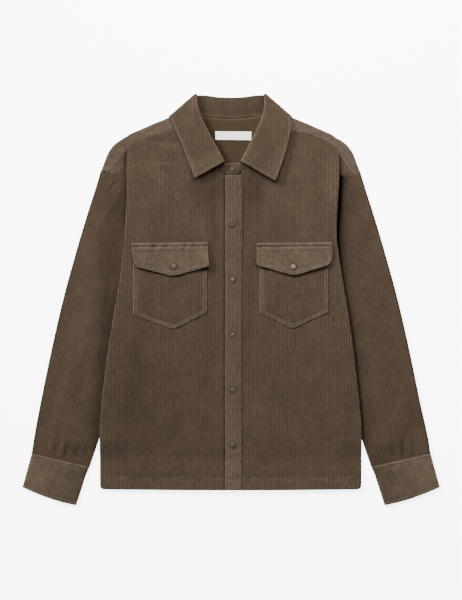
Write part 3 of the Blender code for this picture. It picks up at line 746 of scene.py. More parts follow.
def pucker(
    distance: Size, along: Array, chance: Chance, depth: float, pitch: float = 8.0
) -> Array:
    """Small gathers across a line of stitches.

    Args:
        distance: how far points lie from the line.
        along: where they are along it.
        chance: its unevenness.
        depth: height of the gathers.
        pitch: their usual spacing.

    Returns:
        The added height.
    """
    waves = chance.at(along / pitch * 1.6, distance / 30.0)
    waves += 0.5 * chance.at(along / pitch * 3.1 + 7.0, 3.0)
    strength = 0.6 + 0.4 * chance.at(along / 60.0, 9.0)
    groove = -0.8 * bell(distance, 1.6)
    return depth * (waves * strength * bell(distance, 5.5) + groove)


# ------------------------------------------------------------------ body
@dataclass(frozen=True)
class FrontDrape:
    """How the fronts lie over the back: their main creases and the rise of small ones."""

    swell: float = 1.0
    swell_span: float = 75.0
    fold: float = 1.3
    ruffle: float = 0.28
    ruffle_span: float = 21.0
    hem_pucker: float = 0.75
    creases: tuple[Crease, ...] = (
        Crease((-150, 301), (-96, 292), 7, -1.5),
        Crease((-150, 290), (-92, 281), 8, 1.5),
        Crease((-152, 292), (-150, 250), 4, -1),
        Crease((-141, 290), (-139, 258), 4, 0.9),
        Crease((-150, 262), (-98, 259), 4, -0.9),
        Crease((-150, 256), (-100, 252), 5, 0.9),
        Crease((-92, 222), (-60, 120), 13, -1.6, 6),
        Crease((-122, 286), (-128, 150), 16, 1.8, -6),
        Crease((-24, 228), (-22, 80), 9, -1.7),
        Crease((-44, 205), (-38, 60), 12, 1.5),
        Crease((34, 226), (27, 96), 7, -2),
        Crease((50, 215), (42, 85), 11, 1.6, 4),
        Crease((92, 250), (70, 130), 14, 1.3, -5),
        Crease((140, 292), (150, 205), 13, 1.5, 4),
        Crease((165, 272), (176, 190), 9, -1.2, 3),
        Crease((-178, 262), (-182, 180), 9, -1.2),
        Crease((-150, -70), (-120, -300), 22, 1.7, 9),
        Crease((-84, -90), (-60, -285), 19, -1.5, -8),
        Crease((60, -85), (52, -290), 20, 1.6, 7),
        Crease((118, -90), (146, -300), 22, -1.5, -9),
        Crease((176, -60), (200, -290), 20, 1.6, 8),
        Crease((-196, -40), (-214, -280), 16, -1.2, 6),
        Crease((-30, -20), (-46, -190), 12, -1.1, 4),
        Crease((40, 10), (36, -120), 10, -1.1, -3),
    )

    def surface(self, x: Array, y: Array, outboard: Array | bool = False) -> Array:
        """Middle of the front cloth with its creases, which keep clear of the back.

        Args:
            x: plan x.
            y: plan y.
            outboard: whether points lie beyond the side fold.

        Returns:
            The height.
        """
        relief = self.fold * creases_at(self.creases, x, y)
        relief += self.swell * Chance(3).at(x / self.swell_span, y / self.swell_span)
        span = self.ruffle_span
        relief += self.ruffle * Chance(8).at(x / span, y / (1.7 * span))
        stitch_y = LAY.hem_y + LAY.hem_turn - 1.5
        relief += pucker(y - stitch_y, x, Chance(14), self.hem_pucker)
        relief = np.maximum(relief + 0.5, 0.12 - LAY.air(x, y))
        return LAY.front_z(x, y, outboard) + relief


DRAPE = FrontDrape()


# painted shade under the collar's tips and in broad patches on the fronts, with a few lighter
# patches
FRONT_PAINTED_SHADES = (
    PaintedShadePatch(-42, 208, 30, 34, 0.42),
    PaintedShadePatch(46, 206, 26, 44, 0.42),
    PaintedShadePatch(-165, -190, 48, 150, 0.22),
    PaintedShadePatch(-105, 95, 60, 30, 0.14),
    PaintedShadePatch(192, 214, 13, 40, -0.45),
    PaintedShadePatch(-45, -20, 20, 190, 0.12),
    PaintedShadePatch(40, 60, 14, 240, 0.16),
    PaintedShadePatch(60, -215, 34, 40, -0.2),
    PaintedShadePatch(-133, 220, 14, 36, -0.3),
)


def turned_hem(
    edge: Array, grain: Array, folds: int, flats: Row, up: int
) -> tuple[Array, Array]:
    """A hem turned over or under its cloth.

    Args:
        edge: points of the cloth's lower edge.
        grain: the grain there.
        folds: steps round the fold.
        flats: shares of the turning where its flat part has points.
        up: 1 to turn it over the cloth, and -1 under it.

    Returns:
        Rows of points, and their grain.
    """
    radius = LAY.step / 2
    turns = [(0.0, 0.0, 0.0)]
    for lean in np.linspace(0.0, math.pi, folds + 1)[1:]:
        rise = up * radius * (1.0 - math.cos(lean))
        turns.append((-radius * math.sin(lean), rise, radius * lean))
    for part in flats:
        along = LAY.hem_turn * part
        turns.append((along, up * LAY.step, radius * math.pi + along))
    rows = [edge + np.array([0.0, along, rise]) for along, rise, _ in turns]
    fibres = [grain - np.array([0.0, reach]) for _, _, reach in turns]
    return np.array(rows), np.array(fibres)


# steps round a front's rolled side edge
ROLL_LEANS = (22.5, 45.0, 67.5, 90.0)


@dataclass
class FrontPanel:
    """One front: its main part, rolled side edge, turned hem and shoulder corner."""

    name: str
    side: int
    spacing: float = 3.0
    rub_width: float = 5.0
    corner_swell: float = 2.2
    hem_corner: float = 5.5
    # where the panel's threads meet the neck and the yoke seam
    outer_top: Row = (57.0, 71.5, 92.0, 115.0, 146.0, 170.0, 184.0)
    under_top: Row = (-20.0, 10.9, 24.0, 37.0)
    over_top: Row = (20.3, 24.0, 30.0, 37.0)
    ramp_foot: int = 7

    def tops(self) -> Array:
        """Where the main columns end at the neck and the yoke seam."""
        inner = self.under_top if self.side < 0 else self.over_top
        return np.array(inner + self.outer_top)

    def columns(self, y: Array) -> Array:
        """Distances of the main columns from the centre line.

        Args:
            y: heights at the side edge.

        Returns:
            One row of distances for each height.
        """
        foot = LAY.tuck_line(y, self.side) - LAY.tuck_clear - LAY.tuck_slope
        top = foot + LAY.tuck_slope
        edge = LAY.side_edge(y, self.side) - LAY.half - LAY.lip
        settle = smooth((285.0 - y) / 75.0)
        tops = self.tops()
        result = []
        for index, top_x in enumerate(tops):
            if index <= self.ramp_foot:
                low = mix(tops[0], foot, index / self.ramp_foot)
            else:
                low = (mix(foot, top, 0.5), top, mix(top, edge, 0.5))[index - self.ramp_foot - 1]
            result.append(mix(top_x, low, settle))
        return np.stack(result, axis=1)

    def heights(self) -> Array:
        """Heights of the rows where they cross the side edge.

        Returns:
            The heights, from the hem up.
        """
        low = np.linspace(LAY.hem_y, LAY.tab_y, int((LAY.tab_y - LAY.hem_y) / self.spacing))
        count = int((LAY.fold_end_y - LAY.tab_y) / self.spacing)
        high = np.linspace(LAY.tab_y, LAY.fold_end_y, count)
        corner = LAY.hem_y + np.array([0.0, 0.3, 0.9, 1.8])
        return np.concatenate([corner, low[1:], high[1:]])

    def edge(self, y: Array) -> Array:
        """Outer limit of the rolled side edge, with the hem's small round corner.

        Args:
            y: heights at the side edge.

        Returns:
            Its distance from the centre line.
        """
        rest = np.clip((LAY.hem_y + self.hem_corner - y) / self.hem_corner, 0.0, 1.0)
        cut = 0.85 * self.hem_corner * (1.0 - np.sqrt(1.0 - rest**2))
        return LAY.side_edge(y, self.side) - cut

    def main(self) -> Grid:
        """The main part with its rolled edge, as one grid.

        Returns:
            The grid, with its rows up the panel.
        """
        y = self.heights()
        share = (y - LAY.hem_y) / (LAY.fold_end_y - LAY.hem_y)
        plan_x = self.columns(y).T
        tops = self.tops()
        plan_y = mix(LAY.hem_y, (LAY.front_top(tops) - LAY.seam)[:, None], share[None, :])
        edge = self.edge(y)
        low_tab = LAY.front_z(self.side * edge, y, outboard=True)
        low_body = LAY.back_z(self.side * (edge - LAY.half), y) - LAY.half
        tab = y >= LAY.tab_y - 0.01
        low = np.where(tab, low_tab, low_body)
        high = DRAPE.surface(self.side * (edge - LAY.half - LAY.lip), y)
        radius = np.where(tab, np.minimum(LAY.lip, (high - low) / 2), LAY.lip)
        start_x = edge - LAY.half - radius
        plan_x = np.vstack([plan_x, start_x])
        plan_y = np.vstack([plan_y, y])
        counts = steps_for(plan_x, self.spacing)
        plan_x = spread(plan_x, counts)
        plan_y = spread(plan_y, counts)
        height = DRAPE.surface(self.side * plan_x, plan_y)
        height[-1] = high
        points = pack(self.side * plan_x, plan_y, height)
        grain = pack(self.side * plan_x, plan_y)
        steps = []
        for lean in np.radians(ROLL_LEANS):
            x = edge - LAY.half - radius * (1.0 - math.sin(lean))
            steps.append((x, high - radius * (1.0 - math.cos(lean)), radius * lean))
        for part in (0.5, 1.0):
            drop = (high - radius - low) * part
            steps.append((edge - LAY.half, high - radius - drop, radius * math.pi / 2 + drop))
        roll = [pack(self.side * x, y, z) for x, z, _ in steps]
        roll_grain = [pack(self.side * (start_x + reach), y) for _, _, reach in steps]
        points = np.concatenate([points, np.array(roll)])
        grain = np.concatenate([grain, np.array(roll_grain)])
        x, y = points[..., 0], points[..., 1]
        inside = np.maximum(0.0, edge[None, :] - np.abs(x))
        worn = 0.5 * near(inside, self.rub_width)
        hem_line = y - LAY.hem_y - LAY.hem_turn - 0.5
        patch = 0.55 + 0.45 * Chance(24).at(x / 11.0, 0.0)
        worn = np.maximum(worn, 0.4 * smooth(-hem_line / 2.5))
        worn = np.maximum(worn, 1.2 * patch * bell(hem_line, 2.4))
        # painted shade in soft patches
        worn -= sum(fade.at(x, y) for fade in FRONT_PAINTED_SHADES)
        # painted shadow: a dark line in the gap under the band's free edge
        worn -= bell(x - LAY.band_right_x + 1.0, 1.8)
        return Grid(LAY.sagged(points).swapaxes(0, 1), grain.swapaxes(0, 1), wear_and_painted_shading=worn.T)

    def hem(self, main: Grid) -> Grid:
        """The hem, turned up under the panel.

        Args:
            main: the panel's main part.

        Returns:
            The grid, from the hem's edge in.
        """
        count = main.points.shape[1] - len(ROLL_LEANS) - 2
        rows, fibres = turned_hem(
            main.points[0, :count], main.grain[0, :count], 6, (0.34, 0.67, 1.0), -1
        )
        flat = rows[-3:]
        flat[..., 2] = DRAPE.surface(flat[..., 0], flat[..., 1]) - LAY.step
        return Grid(rows, fibres, wear_and_painted_shading=np.full((1, count), 0.7))

    def corner(self, main: Grid) -> Grid:
        """The part of the front beyond the side fold, up to the armhole and yoke seams.

        Args:
            main: the panel's main part.

        Returns:
            The grid, from the side fold out.
        """
        y = self.heights()
        first = int(np.argmin(np.abs(y - LAY.tab_y)))
        share = (y[first:] - LAY.tab_y) / (LAY.fold_end_y - LAY.tab_y)
        start_x = float(LAY.side_edge(LAY.tab_y, self.side)) + 2.0
        lines = [main.points[first:, -1]]
        for step, thread in enumerate(LAY.tip_threads[:2], start=1):
            low_x = mix(start_x, LAY.tab_tip_x, step / 3.0)
            x = mix(low_x, thread[2], share)
            at_y = mix(LAY.armhole_y(low_x) - 0.8, thread[3] - LAY.seam, share)
            z = LAY.front_z(self.side * x, at_y, outboard=True)
            lines.append(pack(self.side * x, at_y, z))
        tip_y = float(LAY.armhole_y(LAY.tab_tip_x)) - 0.8
        tip = np.array([self.side * LAY.tab_tip_x, tip_y, 0.0])
        tip[2] = float(LAY.front_z(tip[0], tip[1], outboard=True))
        lines.append(np.broadcast_to(tip, lines[0].shape))
        # fine steps between the side fold, the two threads and the tip
        net = spread(np.array(lines), [5, 5, 6]).swapaxes(0, 1)
        bump = 0.7 * Chance(21 + self.side).at(net[..., 0] / 9.0, net[..., 1] / 16.0)
        wide = np.linspace(0.0, math.pi, net.shape[1])
        rise = (bump + self.corner_swell) * np.sin(wide) ** 1.5
        rise = rise * smooth(np.arange(len(net)) / 5.0)[:, None]
        net[..., 2] += rise
        drop = main.grain[first:, -1:, 0] - main.points[first:, -1:, 0]
        grain = pack(net[..., 0] + drop, net[..., 1])
        beside = np.abs(net[..., 0]) - LAY.side_edge(net[..., 1], self.side)
        # painted shade beside the side fold, a little wear elsewhere
        return Grid(net, grain, wear_and_painted_shading=0.25 - 1.25 * bell(beside, 8.0))

    def build(self, dresser: Dresser, finish: Material) -> None:
        """Makes the front and its hem stitches.

        Args:
            dresser: makes and places the pieces.
            finish: the corduroy.
        """
        main = self.main()
        grids = [main, self.hem(main), self.corner(main)]
        dresser.dress(self.name, grids, finish)
        stitches = Thread()
        columns = np.arange(1.0, main.points.shape[1] - 8, 0.5)
        y = main.points[:, 0, 1]
        row = float(np.interp(LAY.hem_y + LAY.hem_turn - 1.5, y, np.arange(len(y))))
        stitches.sew(main, row, columns, LAY.half)
        stitches.build(f"{self.name}_hem_stitches", dresser.thread)


@dataclass
class BackPanel:
    """The back, which lies on the surface, with its hem turned up inside."""

    name: str = "back"
    spacing: float = 5.0

    def build(self, dresser: Dresser, finish: Material) -> None:
        """Makes the back.

        Args:
            dresser: makes and places the piece.
            finish: the corduroy.
        """
        count = int((LAY.yoke_back_y - LAY.hem_y) / self.spacing)
        y = np.linspace(LAY.hem_y, LAY.yoke_back_y - LAY.seam, count)
        halves = []
        for side in (-1, 1):
            front = FrontPanel("", side)
            columns = front.columns(y).T[3:]
            edge = LAY.side_edge(y, side) - LAY.back_inset
            columns = np.vstack([0.0 * edge, columns, edge])
            halves.append(side * spread(columns, steps_for(columns, self.spacing)))
        x = np.vstack([halves[0][::-1][:-1], halves[1]])
        plan_y = np.broadcast_to(y, x.shape)
        points = LAY.sagged(pack(x, plan_y, LAY.back_z(x, plan_y))).swapaxes(0, 1)
        grain = pack(x, plan_y).swapaxes(0, 1)
        main = Grid(points, grain)
        hem = Grid(*turned_hem(points[0, 1:-1], grain[0, 1:-1], 4, (0.5, 1.0), 1))
        dresser.dress("back", [main, hem], finish)


SNAPS = tuple(f"snap_{number}" for number in range(1, 7))


def snap_middle(name: str) -> Place:
    """Middle of a snap's seat in mm."""
    low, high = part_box(name)
    return (low[0] + high[0]) / 2 / MM, (low[1] + high[1]) / 2 / MM, low[2] / MM


def painted_snap_shade(names: tuple[str, ...], x: Array, y: Array) -> Array:
    """How dark, from 0, the painted shade round the named snaps is at plan points."""
    middles = [snap_middle(name) for name in names]
    return sum(1.1 * bell(np.hypot(x - at_x, y - at_y) - 5.6, 1.7) for at_x, at_y, _ in middles)


@dataclass
class FrontBand:
    """The band down the centre front that carries the snaps."""

    gap: float = LAY.step + 0.1
    spacing: float = 2.4
    columns: int = 15
    edge_stitch: float = 4.2

    def surface(self, x: Array, y: Array) -> Array:
        """Middle of the band's cloth at plan points.

        Args:
            x: distance from the centre line, signed.
            y: distance from the origin towards the collar.

        Returns:
            Heights in mm.
        """
        base = np.maximum(DRAPE.surface(x, y), DRAPE.surface(np.clip(x, 0.0, 14.0), y))
        across = (x - LAY.band_right_x) / (LAY.band_left_x - LAY.band_right_x)
        crown = 0.5 * np.sin(math.pi * np.clip(across, 0.0, 1.0))
        crown -= 0.8 * smooth((across - 0.7) / 0.3)
        right = pucker(x - LAY.band_right_x - self.edge_stitch, y, Chance(31), 0.42, 10.0)
        left = pucker(LAY.band_left_x - x - self.edge_stitch, y, Chance(32), 0.5, 9.0)
        return base + self.gap + crown + right + left

    def grid(self) -> Grid:
        """The band's cloth.

        Returns:
            The grid.
        """
        count = int((LAY.front_neck_y - LAY.hem_y) / self.spacing)
        y = np.linspace(LAY.hem_y - 1.0, LAY.front_neck_y - LAY.seam, count)
        x = np.linspace(LAY.band_right_x, LAY.band_left_x, self.columns)
        plan_y, plan_x = np.meshgrid(y, x, indexing="ij")
        z = self.surface(plan_x, plan_y)
        wander = 0.35 * Chance(33).at(plan_y / 26.0, 0.0)
        points = LAY.sagged(pack(plan_x + wander, plan_y, z))
        edge = np.minimum(plan_x - LAY.band_right_x, LAY.band_left_x - plan_x)
        wear_and_painted_shading = 0.3 + 0.5 * near(edge, 5.0)
        wear_and_painted_shading += 0.6 * smooth((-150.0 - plan_y) / 130.0)
        wear_and_painted_shading += 0.5 * smooth((LAY.hem_y + LAY.hem_turn + 2.0 - plan_y) / 4.0)
        # painted shade round the snaps
        wear_and_painted_shading -= painted_snap_shade(SNAPS[1:], plan_x, plan_y)
        return Grid(points, pack(plan_x, plan_y), wear_and_painted_shading=wear_and_painted_shading)

    def build(self, dresser: Dresser, finish: Material) -> None:
        """Makes the band and its two rows of stitches.

        Args:
            dresser: makes and places the pieces.
            finish: the corduroy.
        """
        grid = self.grid()
        dresser.dress("front_band", [grid], finish)
        stitches = Thread()
        rows = np.arange(1.0, grid.points.shape[0] - 2, 0.5)
        width = LAY.band_left_x - LAY.band_right_x
        for inset in (self.edge_stitch, width - self.edge_stitch):
            column = inset / width * (self.columns - 1)
            stitches.sew(grid, rows, column, LAY.half)
        stitches.build("front_band_stitches", dresser.thread)


# ------------------------------------------------------------------ yoke
@dataclass
class Yoke:
    """The yoke: its back lies below, and it wraps over the shoulders to the front."""

    # half the width of the flat part inside the neck, its threads, and their points
    neck_reach: float = 66.0
    neck_threads: int = 12
    back_rows: int = 9
    step_radius: float = 1.0
    step_spread: float = 2.0
    step_top_y: float = 270.0
    seam_pucker: float = 1.1
    overlap: float = 0.5
    # fold x, fold y, front seam x, front seam y, back seam x
    threads: Table = (
        (88, 357, 71.5, 331.6, 82),
        (102, 350.6, 92, 327, 100),
        (119, 343.2, 115, 321, 119),
        (147, 332, 146, 312.5, 146),
        (172, 321, 170, 305, 168),
        (186, 315.2, 184, 299.1, 183),
    )

    def step_inset(self) -> float:
        """From the body's side edge to the step down beside it."""
        return LAY.step + LAY.half + 0.1

    def step_point(self, y: Array, side: int, position: int) -> Array:
        """Points of the small step beyond the side fold.

        Args:
            y: heights.
            side: -1 or +1.
            position: -1, 0 or 1 across the step.

        Returns:
            The points.
        """
        fold_x = LAY.side_edge(y, side) - self.step_inset()
        high = LAY.back_z(side * (fold_x - self.step_spread), y)
        flat = LAY.back_z(side * fold_x, y, outboard=True)
        radius = np.minimum(self.step_radius, (high - flat) / 2)
        x = fold_x + position * np.clip((y - self.step_top_y) / 20.0, 0.0, 1.0)
        z = (high, high - radius, flat)[position + 1]
        x = x - radius if position < 0 else x
        return pack(side * x, y, z)

    def all_threads(self, side: int) -> tuple[list[Row], list[int | None]]:
        """The yoke's threads with their place on the step, or None.

        Args:
            side: -1 or +1.

        Returns:
            The threads, and each one's position across the step.
        """
        inner = list(self.threads)
        outer = list(LAY.tip_threads)
        seam = (float(LAY.side_edge(LAY.fold_end_y, side)) - LAY.half, LAY.fold_end_y + LAY.seam)
        middle_x = float(LAY.side_edge(LAY.fold_top_y, side)) - self.step_inset()
        steps = []
        for position in (-1, 0, 1):
            x = middle_x + 1.0 + position * self.step_spread
            y = float(read(tuple(inner + outer), 1, x))
            steps.append((x, y, seam[0], seam[1], x))
        places: list[int | None] = [None] * len(inner) + [-1, 0, 1] + [None] * len(outer)
        return inner + steps + outer, places

    def column(
        self, thread: Array, away: Array, side: int, place: int | None, outboard: bool
    ) -> Array:
        """One thread: up the back, over the shoulder fold and down to the front seam.

        Args:
            thread: its row of sizes.
            away: outward direction in plan.
            side: -1 or +1.
            place: position across the step, or None.
            outboard: whether it lies beyond the side fold.

        Returns:
            Rows of x, y, z and the grain's two coordinates.
        """
        fold_x, fold_y, seam_x, seam_y, back_x = thread
        low_y = LAY.yoke_back_y
        if place is not None:
            low_y = float(LAY.armhole_y(LAY.side_edge(low_y, side))) - self.overlap
        elif outboard:
            low_y = float(LAY.armhole_y(back_x)) - 2.0 * self.overlap
        gap = LAY.step + float(LAY.air(side * fold_x, fold_y))
        end = np.array([fold_x, fold_y]) - away * (gap / 2 + LAY.half)
        share = np.linspace(0.0, 1.0, self.back_rows)
        x = mix(back_x, end[0], share)
        y = mix(low_y, end[1], share)
        if place is None:
            back = pack(side * x, y, LAY.back_z(side * x, y, outboard))
        else:
            back = self.step_point(y, side, place)
        last = back[-1]
        radius = gap / 2
        out = np.array([side * away[0], away[1]])
        rows = [np.concatenate([point, point[:2]]) for point in back]
        for lean in np.radians((30.0, 60.0, 90.0, 120.0, 150.0, 180.0)):
            plan = last[:2] + out * radius * math.sin(lean)
            fibre = last[:2] + out * radius * lean
            rows.append([*plan, last[2] + radius * (1.0 - math.cos(lean)), *fibre])
        seam = np.array([side * (seam_x - self.overlap), seam_y - self.overlap])
        for part in (0.34, 0.67, 1.0):
            plan = mix(last[:2], seam, part)
            base = float(LAY.front_z(seam[0], seam[1], outboard)) + (0.0 if outboard else 0.5)
            z = mix(last[2] + gap, base, part)
            inward = float(np.dot(plan - last[:2], out))
            along = plan - last[:2] - out * inward
            fibre = last[:2] + out * (radius * math.pi - inward) + along
            rows.append([*plan, z, *fibre])
        return np.array(rows)

    def half(self, side: int) -> Grid:
        """One half of the yoke as a fine grid.

        Args:
            side: -1 or +1.

        Returns:
            The grid, from the centre out.
        """
        threads, places = self.all_threads(side)
        inner = len(self.threads)
        # fine steps between one thread and the next
        counts = [4, 5, 7, 7, 4, 3, 1, 1, 7, 5, 6, 5, 2]
        fine = refine(np.array(threads)[:, None, :], counts, 0)[:, 0]
        keys = np.concatenate([[0], np.cumsum(counts)])
        folds = fine[:, :2]
        run = np.gradient(folds, axis=0)
        run /= np.linalg.norm(run, axis=1, keepdims=True)
        away = pack(-run[:, 1], run[:, 0])
        columns = []
        for index, thread in enumerate(fine):
            place = places[int(np.searchsorted(keys, index))] if index in keys else None
            outboard = index >= keys[inner + 2]
            columns.append(self.column(thread, away[index], side, place, outboard))
        body = np.array(columns)
        rows = body.shape[1]
        neck = []
        for x in np.linspace(0.0, self.neck_reach, self.neck_threads):
            y = np.linspace(LAY.yoke_back_y, LAY.neck_y(x) - LAY.seam, self.back_rows)
            plan_x = np.full(y.shape, side * x)
            line = pack(plan_x, y, LAY.back_z(plan_x, y), plan_x, y)
            neck.append(np.vstack([line, np.repeat(line[-1:], rows - len(line), axis=0)]))
        net = np.concatenate([np.array(neck), body])
        # fine steps up the back, round the fold, and down the front
        up, fold, down = [5] * (self.back_rows - 1), [1] * 6, [4] * 3
        net = refine(net, up + fold + down, 1)
        points, grain = net[..., :3].copy(), net[..., 3:]
        flat_rows = sum(up) + 1
        front = np.arange(points.shape[1]) > flat_rows + len(fold) - 1
        seam = points[:, -1:, :2]
        distance = apart(points[..., :2], seam)
        x, y = points[..., 0], points[..., 1]
        ruffle = pucker(distance - 2.5, x, Chance(40 + side), self.seam_pucker, 7.0)
        ruffle += Chance(43).at(x / 14.0, y / 9.0)
        ruffle = ruffle * smooth(distance / 1.5) * front[None, :]
        outer = smooth((np.abs(x) - 210.0) / 15.0)
        points[..., 2] += np.maximum(ruffle + 0.5, 0.0) * front[None, :] * (1.0 + 0.5 * outer)
        keep = np.ones((points.shape[0] - 1, points.shape[1] - 1), dtype=bool)
        keep[: self.neck_threads, flat_rows - 1 :] = False
        wear_and_painted_shading = np.zeros(points.shape[:2])
        ridge = bell(distance - 3.8, 2.6) * front[None, :]
        wear_and_painted_shading[:, flat_rows:] = 0.4
        wear_and_painted_shading += 0.5 * ridge * (0.8 + 0.5 * Chance(44).at(x / 9.0, 0.0))
        wear_and_painted_shading -= 0.35 * smooth((-x - 120.0) / 80.0)
        # inside the neck: painted shade by the right leaf, painted light on the seam's shadow,
        # paler in the open
        leaf_x = -10.9 - 0.482 * (y - 261.0)
        neck = 0.3 - 0.9 * bell(x - leaf_x - 2.0, 8.0)
        neck += 0.9 * bell(LAY.neck_y(x) - y, 4.0)
        wear_and_painted_shading = np.where((np.abs(x) < 75.0) & (y > LAY.yoke_back_y - 1.0), neck, wear_and_painted_shading)
        return Grid(points, grain, keep=keep, wear_and_painted_shading=wear_and_painted_shading)

    def build(self, dresser: Dresser, finish: Material, facing: Material) -> None:
        """Makes the yoke and the stitches along its front seams.

        Args:
            dresser: makes and places the pieces.
            finish: the corduroy.
            facing: the finish of its inner side.
        """
        halves = [self.half(-1), self.half(1)]
        dresser.dress("yoke", halves, finish, reverse=facing)
        stitches = Thread()
        for grid in halves:
            columns = grid.points.shape[1]
            rows = np.arange(16.0, grid.points.shape[0] - 3.0, 0.3)
            for inset in (2.0, 5.5):
                stitches.sew(grid, rows, columns - 1.0 - inset, LAY.half)
        stitches.build("yoke_stitches", dresser.thread)


# ------------------------------------------------------------------ sleeves and cuffs
@dataclass(frozen=True)
class Shade:
    """A strip of painted shade beside the body's edge; sizes in mm."""

    depth: float
    middle: float
    reach: float
    low_y: float = -400.0
    high_y: float = -399.0

    def at(self, beside: Array, y: Array) -> Array:
        """How dark the strip is, from 0, at a distance beside the body's edge."""
        share = smooth((y - self.low_y) / (self.high_y - self.low_y))
        return self.depth * share * bell(beside - self.middle, self.reach)


SLEEVE_SHADES_RIGHT = (
    Shade(0.36, 0, 8.5),
    Shade(0.5, 0, 8.5, 110, 170),
    Shade(0.37, 31, 24, -50, 70),
    Shade(0.50, 7, 10.5, 55, -10),
)
SLEEVE_SHADES_LEFT = (
    Shade(0.36, 0, 8.5),
    Shade(0.44, 0, 8.5, 110, 170),
    Shade(0.40, 0, 28),
    Shade(0.16, 20, 14, 0, 175),
    Shade(0.55, 0, 16, 40, 110),
    Shade(0.40, 0, 4.5),
)


def tube_ring(
    outer: Array, run: Array, width: float, inset: float, radius: float, middle: float,
    plan: Array, top: Array,
) -> Array:
    """One ring round a flattened tube, from its outer edge over the top and back below.

    Args:
        outer: x and y of its outer edge.
        run: plan direction from the outer edge to the inner one.
        width: from edge to edge.
        inset: from an edge to the middle of its round.
        radius: of the rounds.
        middle: height of their middles.
        plan: x and y of the points across it.
        top: heights of the upper points.

    Returns:
        Rows of x, y and z, the first of them again at the end.
    """
    edges = []
    for reach, turn in ((inset, -radius), (width - inset, radius)):
        edge = []
        for lean in np.radians((45.0, 90.0, 135.0)):
            place = outer + run * (reach + turn * math.sin(lean))
            edge.append([*place, middle - radius * math.cos(lean)])
        edges.append(edge)
    under = np.column_stack([plan, np.full(len(plan), middle - radius)])
    upper = np.column_stack([plan, top])
    return np.vstack([edges[0], upper, edges[1][::-1], under[::-1], edges[0][:1]])


@dataclass
class Sleeve:
    """A one-piece sleeve, flattened, and tucked under the body's side edge."""

    name: str
    side: int
    crown: float = 5.0
    spacing: float = 3.0
    swell: float = 0.9
    # points across the top
    across: int = 38
    # the part sewn under the armhole seam, as a row of the lay's sleeve table
    head: Row = (245.6, 242.2, 171.0, 229.0, 3.6)
    # the part sewn into the cuff
    foot: Row = (376.2, -293.4, 267.0, -318.5, 3.4)
    flare: float = 0.0
    # width of the flat strip beside the body
    valley: float = 6.0
    # painted shade on the first lines of points round the outer edge, where the sleeve rounds away
    outer_dark: Row = (-0.8, -0.8, -0.8, -0.4)
    creases: tuple[Crease, ...] = ()
    shades: tuple[Shade, ...] = ()

    def relief(self, x: Array, y: Array) -> Array:
        """Height of the creases in the part of the sleeve that lies in the open.

        Args:
            x: distance from the centre line, signed.
            y: distance from the origin towards the collar.

        Returns:
            The added height.
        """
        wide = np.abs(x)
        clear = smooth((wide - LAY.side_edge(y, self.side) - 2.0) / 14.0)
        clear = np.where(y > LAY.tuck_end_y + 10.0, clear, 1.0)
        relief = creases_at(self.creases, wide, y)
        relief += self.swell * Chance(50 + self.side).at(wide / 34.0, y / 52.0)
        relief += 0.35 * Chance(53 + self.side).at(wide / 13.0, y / 19.0)
        return clear * relief

    def ring(self, row: Array) -> Array:
        """One ring round the sleeve, from its inner edge over the top and back below.

        Args:
            row: outer x and y, inner x and y, height, and share of the length.

        Returns:
            Rows of x, y, z and the distance round the sleeve.
        """
        outer, inner, height, share = row[0:2], row[2:4], row[4], row[5]
        radius = (height - LAY.cloth) / 2
        run = inner - outer
        width = float(np.linalg.norm(run))
        run = run / width
        inset = radius + LAY.half
        middle = height / 2
        crown = self.crown * smooth(share * 7.0) * smooth((1.0 - share) * 6.0)
        flat = np.linspace(0.0, 1.0, self.across)
        along = mix(inset, width - inset, flat)
        edge = float(LAY.side_edge((outer[1] + inner[1]) / 2.0 + 12.0, self.side))
        in_open = min(1.0, (outer[0] - edge - self.valley) / (outer[0] - inner[0]))
        rise = crown * np.sin(math.pi * np.minimum(1.0, flat / in_open) ** 1.5) ** 1.4
        plan = outer + run * along[:, None]
        top = middle + radius + rise
        lift = self.relief(plan[:, 0], plan[:, 1]) * smooth(np.minimum(flat, 1.0 - flat) / 0.03)
        lift = lift * smooth((1.0 - share) * 22.0) * smooth(share * 18.0)
        top = np.maximum(top + lift, middle + radius)
        ring = tube_ring(outer, run, width, inset, radius, middle, plan, top)
        return np.column_stack([self.side * ring[:, 0], ring[:, 1:], run_length(ring)])

    def grid(self) -> Grid:
        """The sleeve's cloth, all round.

        Returns:
            The grid.
        """
        table = np.array(LAY.sleeve_table)
        shares = np.linspace(0.0, 1.0, len(table))[:, None]
        gaps = np.linalg.norm(np.diff(table[:, :2], axis=0), axis=1)
        counts = [max(2, math.ceil(gap / self.spacing)) for gap in gaps]
        rows = refine(np.hstack([table, shares])[:, None, :], counts, 0)[:, 0]
        rows = np.vstack([[*self.head, 0.0], rows, [*self.foot, 1.0]])
        rows[:, 0] += self.flare * smooth((-185.0 - rows[:, 1]) / 90.0)
        rings = np.array([self.ring(row) for row in rows])
        rings[[0, -1], :, 2] += 0.25
        length = run_length(rows[:, :2])
        x, y, _, reach = np.moveaxis(rings, -1, 0)
        grain = pack(reach, np.broadcast_to(-length[:, None], reach.shape))
        beside = np.abs(x) - LAY.side_edge(y, self.side)
        # painted shade on the sleeve beside the body's edge
        worn = -sum(shade.at(beside, y) for shade in self.shades)
        worn[:, :4] = self.outer_dark
        return Grid(rings[..., :3], grain, wear_and_painted_shading=worn)

    def build(self, dresser: Dresser, finish: Material) -> None:
        """Makes the sleeve."""
        dresser.dress(self.name, [self.grid()], finish)


